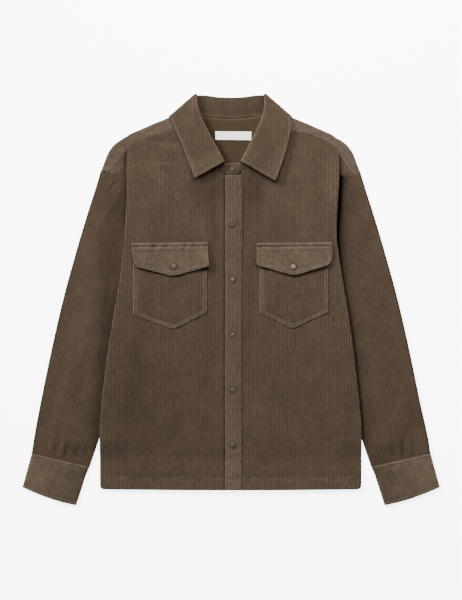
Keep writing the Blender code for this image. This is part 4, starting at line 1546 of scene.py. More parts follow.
@dataclass
class Cuff:
    """A cuff of doubled cloth, closed on the hidden side."""

    name: str
    side: int
    cloth: float = 2.2
    height: float = 5.2
    # outer x, outer y, inner x, inner y, bulge of the edge
    stations: Table = (
        (376, -291.2, 266.4, -316.7, 0),
        (379.8, -305, 272.9, -332, -0.8),
        (386.8, -330.5, 282.7, -362.3, -2),
        (393.3, -354.4, 291.6, -389.2, -3.2),
    )
    # fine steps between the stations, and points across the top
    steps: tuple[int, ...] = (8, 14, 13)
    across: int = 44
    flare: float = 0.0

    def grid(self) -> Grid:
        """The cuff's cloth, all round.

        Returns:
            The grid.
        """
        table = np.array(self.stations)
        table[:, 0] += self.flare
        rows = refine(table[:, None, :], list(self.steps), 0)[:, 0]
        radius = (self.height - self.cloth) / 2
        inset = radius + self.cloth / 2
        rings, reaches = [], []
        chance = Chance(60 + self.side)
        down = run_length(rows[:, :2])
        for index, row in enumerate(rows):
            outer, inner, bulge = row[0:2], row[2:4], row[4]
            run = inner - outer
            width = float(np.linalg.norm(run))
            run = run / width
            aside = np.array([run[1], -run[0]])
            along = np.linspace(inset, width - inset, self.across)
            push = bulge * np.sin(math.pi * along / width)
            plan = outer + run * along[:, None] + aside * push[:, None]
            above, below = down[index], down[-1] - down[index]
            edge = min(above, below)
            relief = 0.8 * chance.at(along / 27.0, above / 22.0)
            relief += 0.35 * chance.at(along / 9.0 + 5.0, above / 12.0)
            relief += pucker(above - 6.0, along, chance, 0.9, 8.0)
            relief += pucker(below - 5.0, along, chance, 0.7, 9.0)
            side_fade = smooth(np.minimum(along, width - along) / 9.0)
            relief = np.maximum(relief + 0.9, 0.0) * side_fade * smooth(edge / 2.0)
            top = self.height / 2 + radius + relief
            ring = tube_ring(outer, run, width, inset, radius, self.height / 2, plan, top)
            rings.append(np.column_stack([self.side * ring[:, 0], ring[:, 1:]]))
            reaches.append(run_length(ring))
        points = np.array(rings)
        reach = np.array(reaches)
        grain = pack(np.broadcast_to(-down[:, None], reach.shape), reach)
        worn = 0.45 + 0.5 * near(np.minimum(down, down[-1] - down), 7.0)[:, None]
        outer, inner = rows[:, 0, None], rows[:, 2, None]
        share = (np.abs(points[..., 0]) - inner) / (outer - inner)
        # painted shade on the cuff's inner side and painted light on its outer side
        return Grid(points, grain, wear_and_painted_shading=worn + mix(-0.85, 0.35, smooth(share)))

    def build(self, dresser: Dresser, finish: Material) -> None:
        """Makes the cuff and its edge stitches.

        Args:
            dresser: makes and places the pieces.
            finish: the brushed corduroy.
        """
        grid = self.grid()
        dresser.dress(self.name, [grid], finish, self.cloth)
        stitches = Thread()
        columns = np.arange(3.0, self.across + 2.0, 0.5)
        for row in (3.6, len(grid.points) - 3.8):
            stitches.sew(grid, row, columns, self.cloth / 2)
        stitches.build(f"{self.name}_stitches", dresser.thread)


# ------------------------------------------------------------------ collar and stand
@dataclass(frozen=True)
class LeafLift:
    """How far one leaf of the collar stands off the body; sizes in mm."""

    front: float
    tip: float
    outer: float
    roll: float = 0.0
    reach: float = 20.0


@dataclass
class Collar:
    """The collar and its stand, folded flat round the neck."""

    cloth: float = 1.3
    roll: float = 1.3
    # fine steps round the roll
    rolled: int = 8
    back_roll_y: float = 382.2
    corner: Pair = (66.0, 390.6)
    crease_end: Pair = (117.5, 345.9)
    stand_top_y: float = 257.5
    back_edge_y: float = 309.0
    lean_front: float = 24.0
    lean_side: float = 38.0
    neck_offset: float = 0.7
    lap: float = LAY.step + 0.15
    side_seam: Pair = (84.2, 358.6)
    # roll x, roll y, outer edge x, outer edge y, lift of the edge
    leaf_right: Table = (
        (9.6, 259.8, 67.3, 228.2, 4.6),
        (31, 299, 80.5, 263, 1.8),
        (51, 337, 95, 299, 0.9),
        (61.5, 366, 108, 327, 0.9),
    )
    leaf_left: Table = (
        (18.2, 260.8, 85.2, 222.8, 4.2),
        (38.5, 300, 99.5, 262, 3.2),
        (56, 337, 109.5, 297, 2.4),
        (63.5, 366, 115, 327, 1.5),
    )
    # how far in the leaves are stitched
    stitch_row: float = 6.5
    # where each end of the stand starts and stops across the centre front
    stand_right: Pair = (-10.9, 19.0)
    stand_left: Pair = (18.2, -9.4)
    lift_right: LeafLift = LeafLift(7.0, 2.6, 0.3, 4.0)
    lift_left: LeafLift = LeafLift(3.6, 2.6, 2.8, 0.8)

    def over_band(self, x: float) -> float:
        """Extra height of the left stand and leaf, which lap over the right ones."""
        return 0.0 if x < 0.0 else self.lap * float(smooth((44.0 - x) / 20.0))

    def height(self, x: float, y: float) -> float:
        """Middle of the cloth that lies on the front at a plan point."""
        return float(DRAPE.surface(np.array(x), np.array(y))) + self.over_band(x)

    def lines(
        self, stand: Array, fall: Array, up: Array, seam: Array, edge: Array, lift: float | None
    ) -> tuple[Array, Array]:
        """One place along the collar.

        Args:
            stand: where the stand ends below the roll.
            fall: where the fall starts above it.
            up: direction of the roll.
            seam: the neck seam.
            edge: the collar's outer edge.
            lift: of the outer edge over a front, or None round the back.

        Returns:
            The collar's points and the stand's points.
        """
        middle = (stand + fall) / 2
        half = (fall - stand) / 2
        radius = float(np.linalg.norm(half))
        collar = []
        for lean in np.radians((0.0, 45.0, 90.0, 135.0, 180.0)):
            collar.append(middle - math.cos(lean) * half + math.sin(lean) * radius * up)
        for share in (0.2, 0.4, 0.6, 0.8, 1.0):
            point = mix(fall, edge, share)
            if lift is not None:
                room = mix(2.0 * self.roll, LAY.step + lift, share)
                point[2] = self.height(point[0], point[1]) + room
            collar.append(point)
        top = stand - 0.5 * up
        stand_points = []
        for share in (0.0, 0.25, 0.5, 0.75, 1.0):
            point = mix(seam, top, share)
            if lift is not None:
                point[2] = self.height(point[0], point[1])
            point[2] -= (0.9 if lift is not None else 2.0) * max(0.0, 1.0 - 2.0 * share)
            stand_points.append(point)
        return np.array(collar), np.array(stand_points)

    def leaf(self, side: int) -> list[tuple[Array, Array]]:
        """Places along one leaf, from its front edge to the side crease.

        Args:
            side: -1 or +1.

        Returns:
            Points of the collar and of the stand for each place.
        """
        rows = self.leaf_right if side < 0 else self.leaf_left
        result = []
        for index, (roll_x, roll_y, edge_x, edge_y, lift) in enumerate(rows):
            lean = math.radians(mix(self.lean_front, self.lean_side, index / (len(rows) - 1)))
            up = np.array([-side * math.cos(lean), math.sin(lean), 0.0])
            inset = self.roll + LAY.half
            x, y = side * roll_x - up[0] * inset, roll_y - up[1] * inset
            seam_x, seam_y = LAY.neck_seam[index]
            z = self.height(x, y)
            result.append(self.lines(
                np.array([x, y, z]),
                np.array([x, y, z + 2.0 * self.roll]),
                up,
                np.array([side * seam_x, seam_y, z]) + up * self.neck_offset,
                np.array([side * edge_x, edge_y, 0.0]),
                lift,
            ))
        return result

    def crease(self, side: int) -> list[tuple[Array, Array]]:
        """Places round the side crease, from the leaf to the back of the collar.

        Args:
            side: -1 or +1.

        Returns:
            Points of the collar and of the stand for each place.
        """
        corner = np.array([side * self.corner[0], self.corner[1], 0.0])
        end = np.array([side * self.crease_end[0], self.crease_end[1], 0.0])
        along = (end - corner) / np.linalg.norm(end - corner)
        away = np.array([-side * along[1], side * along[0], 0.0])
        stand_high = float(LAY.front_z(side * self.side_seam[0], self.side_seam[1])) + 0.5
        stand_low = float(LAY.back_z(side * self.side_seam[0], self.side_seam[1]))
        fall_high = stand_high + 2.0 * self.roll
        fall_radius = (fall_high - LAY.half) / 2
        stand_radius = (stand_high - stand_low) / 2
        seam = np.array([side * self.side_seam[0], self.side_seam[1], 0.0])
        lift = np.array([0.0, 0.0, 1.0])
        result = []
        for lean in np.radians((0.0, 30.0, 60.0, 90.0, 120.0, 150.0, 180.0)):
            roll = mix(self.roll, LAY.step / 2, lean / math.pi) + LAY.half
            start = corner - away * (fall_radius + LAY.half) + along * roll
            fall_out = away * fall_radius * math.sin(lean)
            stand_out = away * stand_radius * math.sin(lean)
            fall_z = (fall_high + LAY.half) / 2 + fall_radius * math.cos(lean)
            stand_z = (stand_high + stand_low) / 2 + stand_radius * math.cos(lean)
            result.append(self.lines(
                start + stand_out + lift * stand_z,
                start + fall_out + lift * fall_z,
                -along,
                seam + stand_out + lift * stand_z,
                end - away * (fall_radius + LAY.half) + fall_out + lift * fall_z,
                None,
            ))
        return result

    def back(self) -> list[tuple[Array, Array]]:
        """Places across the back of the neck.

        Returns:
            Points of the collar and of the stand for each place.
        """
        result = []
        for share in (-0.7, -0.35, 0.0, 0.35, 0.7):
            roll_y = mix(self.back_roll_y, self.corner[1], share**2) - LAY.step / 2 - LAY.half
            seam_x = share * LAY.neck_half
            seam_y = float(LAY.neck_y(seam_x)) + LAY.seam
            edge_y = mix(self.back_edge_y, self.crease_end[1] - 2.0, share**2)
            result.append(self.lines(
                np.array([share * self.corner[0], roll_y, LAY.half + LAY.step]),
                np.array([share * self.corner[0], roll_y, LAY.half]),
                np.array([0.0, 1.0, 0.0]),
                np.array([seam_x, seam_y, LAY.half + LAY.step]),
                np.array([share * self.crease_end[0], edge_y, LAY.half]),
                None,
            ))
        return result

    def stand_end(self, side: int) -> Array:
        """The stand across the centre front; the left end laps over the right.

        Args:
            side: -1 or +1.

        Returns:
            Lines of points across the stand.
        """
        start, reach = self.stand_right if side < 0 else self.stand_left
        over = self.lap if side > 0 else 0.0
        lines = []
        for share in (1.0, 0.75, 0.5, 0.25):
            x = mix(start, reach, share)
            z = float(LAY.front_z(x, LAY.front_neck_y)) + over + 0.5
            low = LAY.front_neck_y + LAY.seam
            y = np.linspace(low, self.stand_top_y, 5)
            rounded = 3.5 * (share == 1.0) * np.array([0.0, 0.0, 0.0, 0.1, 1.0])
            sign = -1.0 if reach > start else 1.0
            lines.append(pack(x + sign * rounded, y - 0.4 * rounded, np.full(5, z)))
        return np.array(lines)

    def leaf_relief(self, net: Array, side: int) -> Array:
        """Height added to one leaf: its lift, soft swell and puckered borders.

        Args:
            net: the leaf's fine points, from the front edge in, and from roll to edge.
            side: -1 or +1.

        Returns:
            The added height.
        """
        lift = self.lift_right if side < 0 else self.lift_left
        from_front = apart(net[..., :2], net[:1, :, :2])
        from_edge = apart(net[..., :2], net[:, -1:, :2])
        from_roll = apart(net[..., :2], net[:, :1, :2])
        share = from_roll / np.maximum(from_roll + from_edge, 1e-6)
        rise = mix(lift.front, lift.tip, share) * bell(from_front, lift.reach)
        rise += lift.outer * near(from_edge, 26.0) * smooth(from_front / 12.0)
        puff = lift.roll * bell(from_roll, 17.0)
        fade = smooth(from_roll / 7.0)
        along = net[..., 1]
        border = pucker(from_edge - self.stitch_row, along, Chance(70 + side), 0.75, 8.0)
        border += 0.4 * smooth((7.0 - from_edge) / 3.0)
        front = pucker(from_front - self.stitch_row, net[..., 0], Chance(73 + side), 0.55, 8.0)
        swell = 0.7 * Chance(76 + side).at(net[..., 0] / 30.0, net[..., 1] / 34.0)
        return puff + rise * mix(0.45, 1.0, fade) + fade * (border + front + swell + 0.4)

    def grids(self) -> tuple[Grid, Grid, dict[int, tuple[int, int]]]:
        """The collar's grid, the stand's grid, and each leaf's columns in the collar's.

        Returns:
            Both grids, and the leaves' first and last columns by side.
        """
        places = self.leaf(-1) + self.crease(-1) + self.back()
        places += self.crease(1)[::-1] + self.leaf(1)[::-1]
        collar = np.array([place[0] for place in places])
        # fine steps along a leaf, round its crease, across the back, and the same again
        counts = [14, 14, 10, 6] + [2] * 6 + [6, 9, 9, 9, 9, 6] + [2] * 6 + [6, 10, 14, 14]
        fine = refine(collar, counts, 0)
        fine = refine(fine, [2, 2, 2, 2] + [5] * 5, 1)
        rolled = self.rolled
        leaf_columns = sum(counts[:4]) + 1
        leaves = {-1: (0, leaf_columns), 1: (fine.shape[0] - leaf_columns, fine.shape[0])}
        for side, (low, high) in leaves.items():
            leaf = fine[low:high] if side < 0 else fine[low:high][::-1]
            top = leaf[:, rolled:]
            relief = self.leaf_relief(top, side)
            ease = np.minimum(1.0, np.arange(leaf.shape[0])[::-1] / 6.0)[:, None]
            top[..., 2] += relief * ease
            share = np.linspace(0.0, 1.0, rolled + 1)[:rolled]
            leaf[:, :rolled, 2] += relief[:, :1] * ease * share**2
        grain = fine[..., :2].copy()
        shift = np.linspace(2.2, 0.0, rolled + 1)
        grain[:, : rolled + 1, 0] += shift * np.sign(fine[:, :1, 0])
        edge = apart(fine, fine[:, -1:])
        ends = np.minimum(apart(fine, fine[:1]), apart(fine, fine[-1:]))
        worn = smooth(1.0 - np.minimum(edge, ends) / 7.0)
        worn[:, : rolled + 1] = np.maximum(worn[:, : rolled + 1], 0.75)
        stand = np.concatenate([
            self.stand_end(-1),
            np.array([place[1] for place in places]),
            self.stand_end(1)[::-1],
        ])
        stand_counts = [3, 3, 3, 4] + [10, 10, 8, 5] + [1] * 6 + [6, 8, 8, 8, 8, 6]
        stand_counts += [1] * 6 + [5, 8, 10, 10] + [4, 3, 3, 3]
        fine_stand = refine(refine(stand, stand_counts, 0), [3] * 4, 1)
        x, y = fine_stand[..., 0], fine_stand[..., 1]
        small = pucker(apart(fine_stand, fine_stand[:, :1]) - 3.0, x, Chance(80), 0.35)
        fine_stand[..., 2] += np.maximum(small + 0.1, -0.1)
        wide = np.abs(x - 3.0)
        tab = smooth((264.0 - y) / 6.0)
        # painted shade on the stand under the leaves; painted light by its seam and the tab, and a
        # painted highlight on the tab's top
        wear_and_painted_shading = -0.25 - 0.3 * smooth((wide - 36.0) / 26.0) + 0.1 * tab
        wear_and_painted_shading += (1.0 - tab) * bell(apart(fine_stand, fine_stand[:, :1]), 4.0)
        wear_and_painted_shading += 0.45 * tab * smooth((wide - 20.0) / 8.0)
        wear_and_painted_shading += 1.3 * tab * bell(self.stand_top_y + 0.6 - y, 1.7)
        return (
            Grid(fine, grain, wear_and_painted_shading=worn),
            Grid(fine_stand, fine_stand[..., :2].copy(), wear_and_painted_shading=wear_and_painted_shading),
            leaves,
        )

    def build(self, dresser: Dresser, finish: Material) -> None:
        """Makes the collar, the stand and the leaves' stitches.

        Args:
            dresser: makes and places the pieces.
            finish: the corduroy.
        """
        collar, stand, leaves = self.grids()
        dresser.dress("collar", [collar], finish, self.cloth)
        dresser.dress("collar_stand", [stand], finish)
        stitches = Thread()
        last = collar.points.shape[1] - 1
        for low, high in leaves.values():
            leaf = collar.points[low:high]
            length = apart(leaf[:, -1], leaf[:, self.rolled])
            rows = np.arange(low + 1.5, high - 2.5, 0.4)
            per_mm = (last - self.rolled) / length
            inset = np.interp(rows, np.arange(low, high), self.stitch_row * per_mm)
            stitches.sew(collar, rows, last - inset, self.cloth / 2)
            columns = np.arange(9.5, last - 1.2, 0.4)
            front = 1.9 if low == 0 else high - 1 - 1.9
            stitches.sew(collar, front, columns, self.cloth / 2)
        stitches.build("collar_stitches", dresser.thread)


# ------------------------------------------------------------------ pockets and flaps
@dataclass(frozen=True)
class PatchShape:
    """Outline of a pocket or flap with a pointed lower edge; sizes in mm."""

    inner_x: float
    outer_x: float
    top_y: float
    corner_y: float
    tip_x: float
    tip_y: float
    # rise of the upper edge for each mm outwards
    slope: float = 0.0
    outer_drop: float = 0.0
    # how far each lower corner is rounded up, and how wide
    outer_round: Pair = (0.0, 1.0)
    inner_round: Pair = (0.0, 1.0)
    # how much narrower the inner edge is at the top, and the bow of the outer edge
    inner_lean: float = 0.0
    outer_bow: float = 0.0
    # how much narrower the outer edge is at the bottom
    outer_lean: float = 0.0

    def low_y(self, x: Array) -> Array:
        """Height of the lower edge at a distance x from the centre line.

        Args:
            x: distance from the centre line.

        Returns:
            The height.
        """
        outer = x > self.tip_x
        end = np.where(outer, self.outer_x, self.inner_x)
        corner = self.corner_y - np.where(outer, self.outer_drop, 0.0)
        point = mix(self.tip_y, corner, (x - self.tip_x) / (end - self.tip_x))
        rise, wide = self.outer_round
        point += rise * np.clip((x - self.outer_x + wide) / wide, 0.0, 1.0) ** 2
        rise, wide = self.inner_round
        point += rise * np.clip((self.inner_x + wide - x) / wide, 0.0, 1.0) ** 2
        return point + 1.2 * bell(x - self.tip_x, 5.0)

    def high_y(self, x: Array) -> Array:
        """Height of the upper edge at a distance x from the centre line."""
        return self.top_y + self.slope * (x - (self.inner_x + self.outer_x) / 2)

    def sway(self, x: Array, t: Array) -> Array:
        """How far a point moves outwards, by its share t of the way down.

        Args:
            x: distance from the centre line.
            t: share of the way down.

        Returns:
            The distance in mm.
        """
        wide = (x - self.inner_x) / (self.outer_x - self.inner_x)
        lean = self.inner_lean * (1.0 - t) * (1.0 - wide)
        bow = self.outer_bow * np.sin(math.pi * t) - self.outer_lean * t
        return lean + bow * wide**2


class PatchKind(Enum):
    """What a patch is."""

    POCKET = "pocket"
    FLAP = "flap"


@dataclass
class Patch:
    """A chest pocket or its flap, sewn on with two rows of stitches."""

    kind: PatchKind
    name: str
    side: int
    shape: PatchShape
    rise: float
    cloth: float = LAY.cloth
    spacing: float = 1.9
    # rows of stitches in from the edges, and below a flap's upper edge
    first_row: float = 2.0
    second_row: float = 8.0
    top_rows: Pair = (1.6, 7.4)
    edge_lift: float = 0.0
    inner_lift: float = 0.0
    swell: float = 0.8
    ridge: float = 0.5
    snap_at: Pair | None = None

    def relief(self, x: Array, y: Array) -> Array:
        """Height added by seams, gathers, fullness and lifted edges.

        Args:
            x: distance from the centre line.
            y: height.

        Returns:
            The added height.
        """
        shape = self.shape
        beside = np.minimum(x - shape.inner_x, shape.outer_x - x)
        above = (y - shape.low_y(x)) * 0.95
        below_top = shape.high_y(x) - y
        border = np.minimum(beside, above)
        along = np.where(beside < above, y, x)
        seed = 90 + self.side + (4 if self.kind is PatchKind.FLAP else 0)
        relief = self.ridge * smooth((self.second_row + 1.0 - border) / 3.0)
        relief += pucker(border - self.second_row, along, Chance(seed), 0.6, 7.5)
        relief += pucker(border - self.first_row, along, Chance(seed + 20), 0.35, 7.5)
        full = smooth(border / 30.0)
        relief += self.swell * full * (1.0 + 0.6 * Chance(seed + 30).at(x / 26.0, y / 24.0))
        if self.kind is PatchKind.FLAP:
            relief += 0.9 * bell(below_top - 3.2, 2.2)
            relief += pucker(below_top - self.top_rows[1], x, Chance(seed + 40), 1.5, 9.0)
            relief += 0.8 * bell(below_top - 11.5, 3.0)
            free = smooth((below_top - 8.0) / 26.0)
            relief += self.edge_lift * free * near(above, 22.0)
            relief += self.inner_lift * free * near(x - shape.inner_x, 26.0)
        if self.snap_at is not None:
            away = np.hypot(x - self.snap_at[0], y - self.snap_at[1])
            relief = relief * smooth((away - 4.0) / 9.0) + 0.5 * bell(away, 7.0)
        return relief + 0.4

    def grid(self) -> Grid:
        """The patch's cloth.

        Returns:
            The grid.
        """
        shape = self.shape
        wide = math.ceil((shape.outer_x - shape.inner_x) / self.spacing)
        high = math.ceil((shape.top_y - shape.tip_y) / self.spacing)
        x = np.linspace(shape.inner_x, shape.outer_x, wide)
        x[np.argmin(np.abs(x - shape.tip_x))] = shape.tip_x
        t = np.linspace(0.0, 1.0, high)
        plan_x = np.broadcast_to(x, (high, wide)).copy()
        plan_y = mix(shape.high_y(x)[None, :], shape.low_y(x)[None, :], t[:, None])
        relief = self.relief(plan_x, plan_y)
        sway = shape.sway(plan_x, t[:, None])
        z = DRAPE.surface(self.side * (plan_x + sway), plan_y) + self.rise + relief
        wander = 0.45 * Chance(120 + self.side).at(plan_y / 17.0, plan_x / 40.0)
        beside = np.minimum(x - shape.inner_x, shape.outer_x - x)
        drawn = wander * near(beside, 12.0)[None, :]
        above = plan_y - shape.low_y(plan_x)
        lower = 0.5 * Chance(121 + self.side).at(plan_x / 9.0, 0.0) * near(above, 8.0)
        points = pack(self.side * (plan_x + sway + drawn), plan_y + lower, z)
        edge = np.minimum(np.minimum(beside[None, :], above), shape.high_y(plan_x) - plan_y + 1.0)
        worn = near(edge, 6.0) + 0.5 * bell(edge - self.second_row + 1.5, 2.0)
        worn = np.minimum(worn, 1.0)
        if self.kind is PatchKind.FLAP:
            name = "snap_flap_right" if self.side < 0 else "snap_flap_left"
            worn = np.maximum(worn, 0.45)
            # painted shade round the snap, and darker towards the flap's lower edge
            worn = worn - 0.3 * t[:, None] - 0.8 * painted_snap_shade((name,), self.side * plan_x, plan_y)
        return Grid(points, pack(self.side * plan_x, plan_y), wear_and_painted_shading=worn)

    def build(self, dresser: Dresser, finish: Material) -> None:
        """Makes the patch and its stitches.

        Args:
            dresser: makes and places the pieces.
            finish: the corduroy.
        """
        grid = self.grid()
        dresser.dress(self.name, [grid], finish, self.cloth)
        high, wide = grid.points.shape[:2]
        width = self.shape.outer_x - self.shape.inner_x
        x = np.linspace(self.shape.inner_x, self.shape.outer_x, wide)
        lengths = self.shape.high_y(x) - self.shape.low_y(x)
        stitches = Thread()
        for inset in (self.first_row, self.second_row):
            side_column = inset / width * (wide - 1)
            low = inset / lengths[0] * (high - 1)
            rows = np.arange(1.0, high - 1.0 - low, 0.5)
            for column in (side_column, wide - 1 - side_column):
                stitches.sew(grid, rows, column, self.cloth / 2)
            columns = np.arange(side_column, wide - 1 - side_column, 0.5)
            length_at = np.interp(columns, np.arange(wide), lengths)
            stitches.sew(grid, (high - 1) * (1.0 - inset / length_at), columns, self.cloth / 2)
        if self.kind is PatchKind.FLAP:
            columns = np.arange(1.0, wide - 1.5, 0.5)
            length_at = np.interp(columns, np.arange(wide), lengths)
            for inset in self.top_rows:
                stitches.sew(grid, (high - 1) * inset / length_at, columns, self.cloth / 2)
        stitches.build(f"{self.name}_stitches", dresser.thread)


# ------------------------------------------------------------------ snaps and label
@dataclass
class Snap:
    """A pressed metal cap with a rolled rim and a low dome."""

    name: str
    radius: float = 5.0
    sides: int = 48
    # how far the cloth's creases raise it
    lift: float = 0.9
    # share of the radius, height in mm
    profile: Table = (
        (0.93, -0.5),
        (0.985, -0.2),
        (1, 0.2),
        (0.985, 0.5),
        (0.93, 0.74),
        (0.86, 0.82),
        (0.80, 0.78),
        (0.75, 0.68),
        (0.70, 0.66),
        (0.64, 0.74),
        (0.50, 0.92),
        (0.30, 1.04),
        (0.15, 1.08),
        (0, 1.1),
    )

    def build(self, material: Material) -> None:
        """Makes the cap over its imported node.

        Args:
            material: the plated metal.
        """
        x, y, low = snap_middle(self.name)
        turns = 2.0 * math.pi * np.arange(self.sides) / self.sides
        around = self.radius * np.column_stack([np.cos(turns), np.sin(turns)])
        points = [
            (x + share * out, y + share * up, low + self.lift + height)
            for share, height in self.profile[:-1]
            for out, up in around
        ]
        points.append((x, y, low + self.lift + self.profile[-1][1]))
        crown = len(points) - 1
        last = crown - self.sides
        faces = tube_faces(len(self.profile) - 1, self.sides)
        faces += [(last + n, last + (n + 1) % self.sides, crown) for n in range(self.sides)]
        faces.append(tuple(range(self.sides))[::-1])
        mesh = bpy.data.meshes.new(self.name)
        mesh.from_pydata((np.array(points) * MM).tolist(), [], faces)
        mesh.shade_smooth()
        mesh.materials.append(material)
        piece = add_object(f"{self.name}_cap", mesh)
        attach(piece, "root")
        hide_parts(self.name)
        LOG.info("%s cap", self.name)


@dataclass
class NeckLabel:
    """The bare woven label inside the back of the neck."""

    middle: Pair = (5.6, 309.4)
    size: Pair = (68.0, 16.0)
    cloth: float = 0.5
    tilt: float = -0.7

    def build(self, dresser: Dresser, tape: Material) -> None:
        """Makes the label and the stitches at its ends.

        Args:
            dresser: makes and places the pieces.
            tape: the woven tape.
        """
        u = np.linspace(-0.5, 0.5, 48)
        v = np.linspace(-0.5, 0.5, 16)
        across, up = np.meshgrid(u * self.size[0], v * self.size[1])
        lean = math.radians(self.tilt)
        x = self.middle[0] + across * math.cos(lean) - up * math.sin(lean)
        y = self.middle[1] + across * math.sin(lean) + up * math.cos(lean)
        base = LAY.half + LAY.step + LAY.half + LAY.seam + self.cloth / 2
        bow = 0.9 * np.cos(math.pi * u)[None, :] + 0.25 * Chance(130).at(across / 12.0, up / 9.0)
        folded = 0.35 * smooth((np.abs(across) - 0.5 * self.size[0] + 4.5) / 1.2)
        z = base + np.maximum(bow, 0.0) + folded
        grid = Grid(pack(x, y, z), pack(across, up))
        piece = dresser.cloth("neck_label_tape", [grid], self.cloth, tape)
        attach(piece, "root")
        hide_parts("neck_label")
        stitches = Thread()
        rows = np.arange(1.5, 13.5, 0.4)
        for column in (1.6, 45.4):
            stitches.sew(grid, rows, column, self.cloth / 2)
        stitches.build("neck_label_stitches", dresser.thread)


# ------------------------------------------------------------------ finishes
Value = Socket | float | Row
FLOAT = "NodeSocketFloat"
VECTOR = "NodeSocketVector"


@dataclass
class Wiring:
    """Adds and joins the nodes of one shader tree."""

    tree: Tree

    def fill(self, node: Node, inputs: dict[str | int, Value]) -> Node:
        """Sets inputs of a node to constants, or joins other nodes' outputs to them."""
        for key, value in inputs.items():
            if isinstance(value, Socket):
                self.tree.links.new(value, node.inputs[key])
            else:
                node.inputs[key].default_value = value
        return node

    def add(self, kind: str, inputs: dict[str | int, Value], **settings: object) -> Node:
        """Adds a node.

        Args:
            kind: the node's type.
            inputs: constants or other nodes' outputs for its inputs.
            settings: its own settings.

        Returns:
            The node.
        """
        node = self.tree.nodes.new(kind)
        for key, value in settings.items():
            setattr(node, key, value)
        return self.fill(node, inputs)

    def effect(self, tree: Tree, inputs: dict[str | int, Value]) -> Node:
        """A shared effect with this finish's values."""
        return self.add("ShaderNodeGroup", inputs, node_tree=tree)

    def grain(self) -> Socket:
        """Place on the cloth, along and across its grain, in metres."""
        return self.add("ShaderNodeUVMap", {}, uv_map="grain").outputs[0]

    def place(self) -> Socket:
        """Place in the object, in metres."""
        return self.add("ShaderNodeTexCoord", {}).outputs["Object"]

    def wear_and_painted_shading(self) -> Socket:
        """How worn the cloth is, raised where light is painted, and below zero where shade is
        painted.
        """
        return self.add("ShaderNodeAttribute", {}, attribute_name="wear_and_painted_shading").outputs["Fac"]

    def math(self, operation: str, a: Value, b: Value = 0.0, c: Value = 0.0) -> Socket:
        """One sum on values."""
        return self.add("ShaderNodeMath", {0: a, 1: b, 2: c}, operation=operation).outputs[0]

    def times(self, a: Value, b: Value) -> Socket:
        """Two values multiplied."""
        return self.math("MULTIPLY", a, b)

    def line(self, value: Value, slope: Value, start: Value) -> Socket:
        """A value times a slope, added to a start."""
        return self.math("MULTIPLY_ADD", value, slope, start)

    def noise(self, where: Value, scale: float, detail: float = 2.0, rough: float = 0.5) -> Socket:
        """Soft noise of the given scale, as a value."""
        inputs = {"Vector": where, "Scale": scale, "Detail": detail, "Roughness": rough}
        return self.add("ShaderNodeTexNoise", inputs).outputs[0]

    def span(self, value: Value, low: float, high: float, to_low: float, to_high: float) -> Socket:
        """A value moved from one range to another, and kept in it."""
        inputs = {0: value, 1: low, 2: high, 3: to_low, 4: to_high}
        return self.add("ShaderNodeMapRange", inputs, interpolation_type="SMOOTHSTEP").outputs[0]

    def about_one(self, value: Value, depth: float) -> Socket:
        """A share from 0 to 1 as a factor just below and above 1."""
        return self.span(value, 0.0, 1.0, 1.0 - depth, 1.0 + depth)

    def stretched(self, where: Value, scale: Place) -> Socket:
        """A place stretched along its axes."""
        inputs = {0: where, 1: scale}
        return self.add("ShaderNodeVectorMath", inputs, operation="MULTIPLY").outputs[0]

    def blend(self, share: Value, a: Value, b: Value, how: str = "MIX") -> Socket:
        """A mix of two colours."""
        inputs = {0: share, 6: a, 7: b}
        return self.add("ShaderNodeMix", inputs, data_type="RGBA", blend_type=how).outputs[2]

    def toned(self, colour: Value, tone: Value) -> Socket:
        """A colour made lighter or darker by a value."""
        tones = self.add("ShaderNodeCombineColor", {0: tone, 1: tone, 2: tone}).outputs[0]
        return self.blend(1.0, colour, tones, "MULTIPLY")

    def relief(self, strength: float, depth: float, height: Value) -> Socket:
        """The direction of a finely uneven face; the depth is in metres."""
        inputs = {"Strength": strength, "Distance": depth, "Height": height}
        return self.add("ShaderNodeBump", inputs).outputs[0]


def new_group(
    name: str, inputs: dict[str, str], outputs: tuple[str, ...]
) -> tuple[Wiring, dict[str, Socket], Node]:
    """Starts a shared shader effect.

    Args:
        name: its name.
        inputs: kinds of its inputs by name.
        outputs: names of the values that it gives.

    Returns:
        Its wiring, its inputs by name, and its output node.
    """
    tree = bpy.data.node_groups.new(name, "ShaderNodeTree")
    for label, kind in inputs.items():
        tree.interface.new_socket(label, in_out="INPUT", socket_type=kind)
    for label in outputs:
        tree.interface.new_socket(label, in_out="OUTPUT", socket_type=FLOAT)
    entry = tree.nodes.new("NodeGroupInput")
    end = tree.nodes.new("NodeGroupOutput")
    return Wiring(tree), {label: entry.outputs[label] for label in inputs}, end


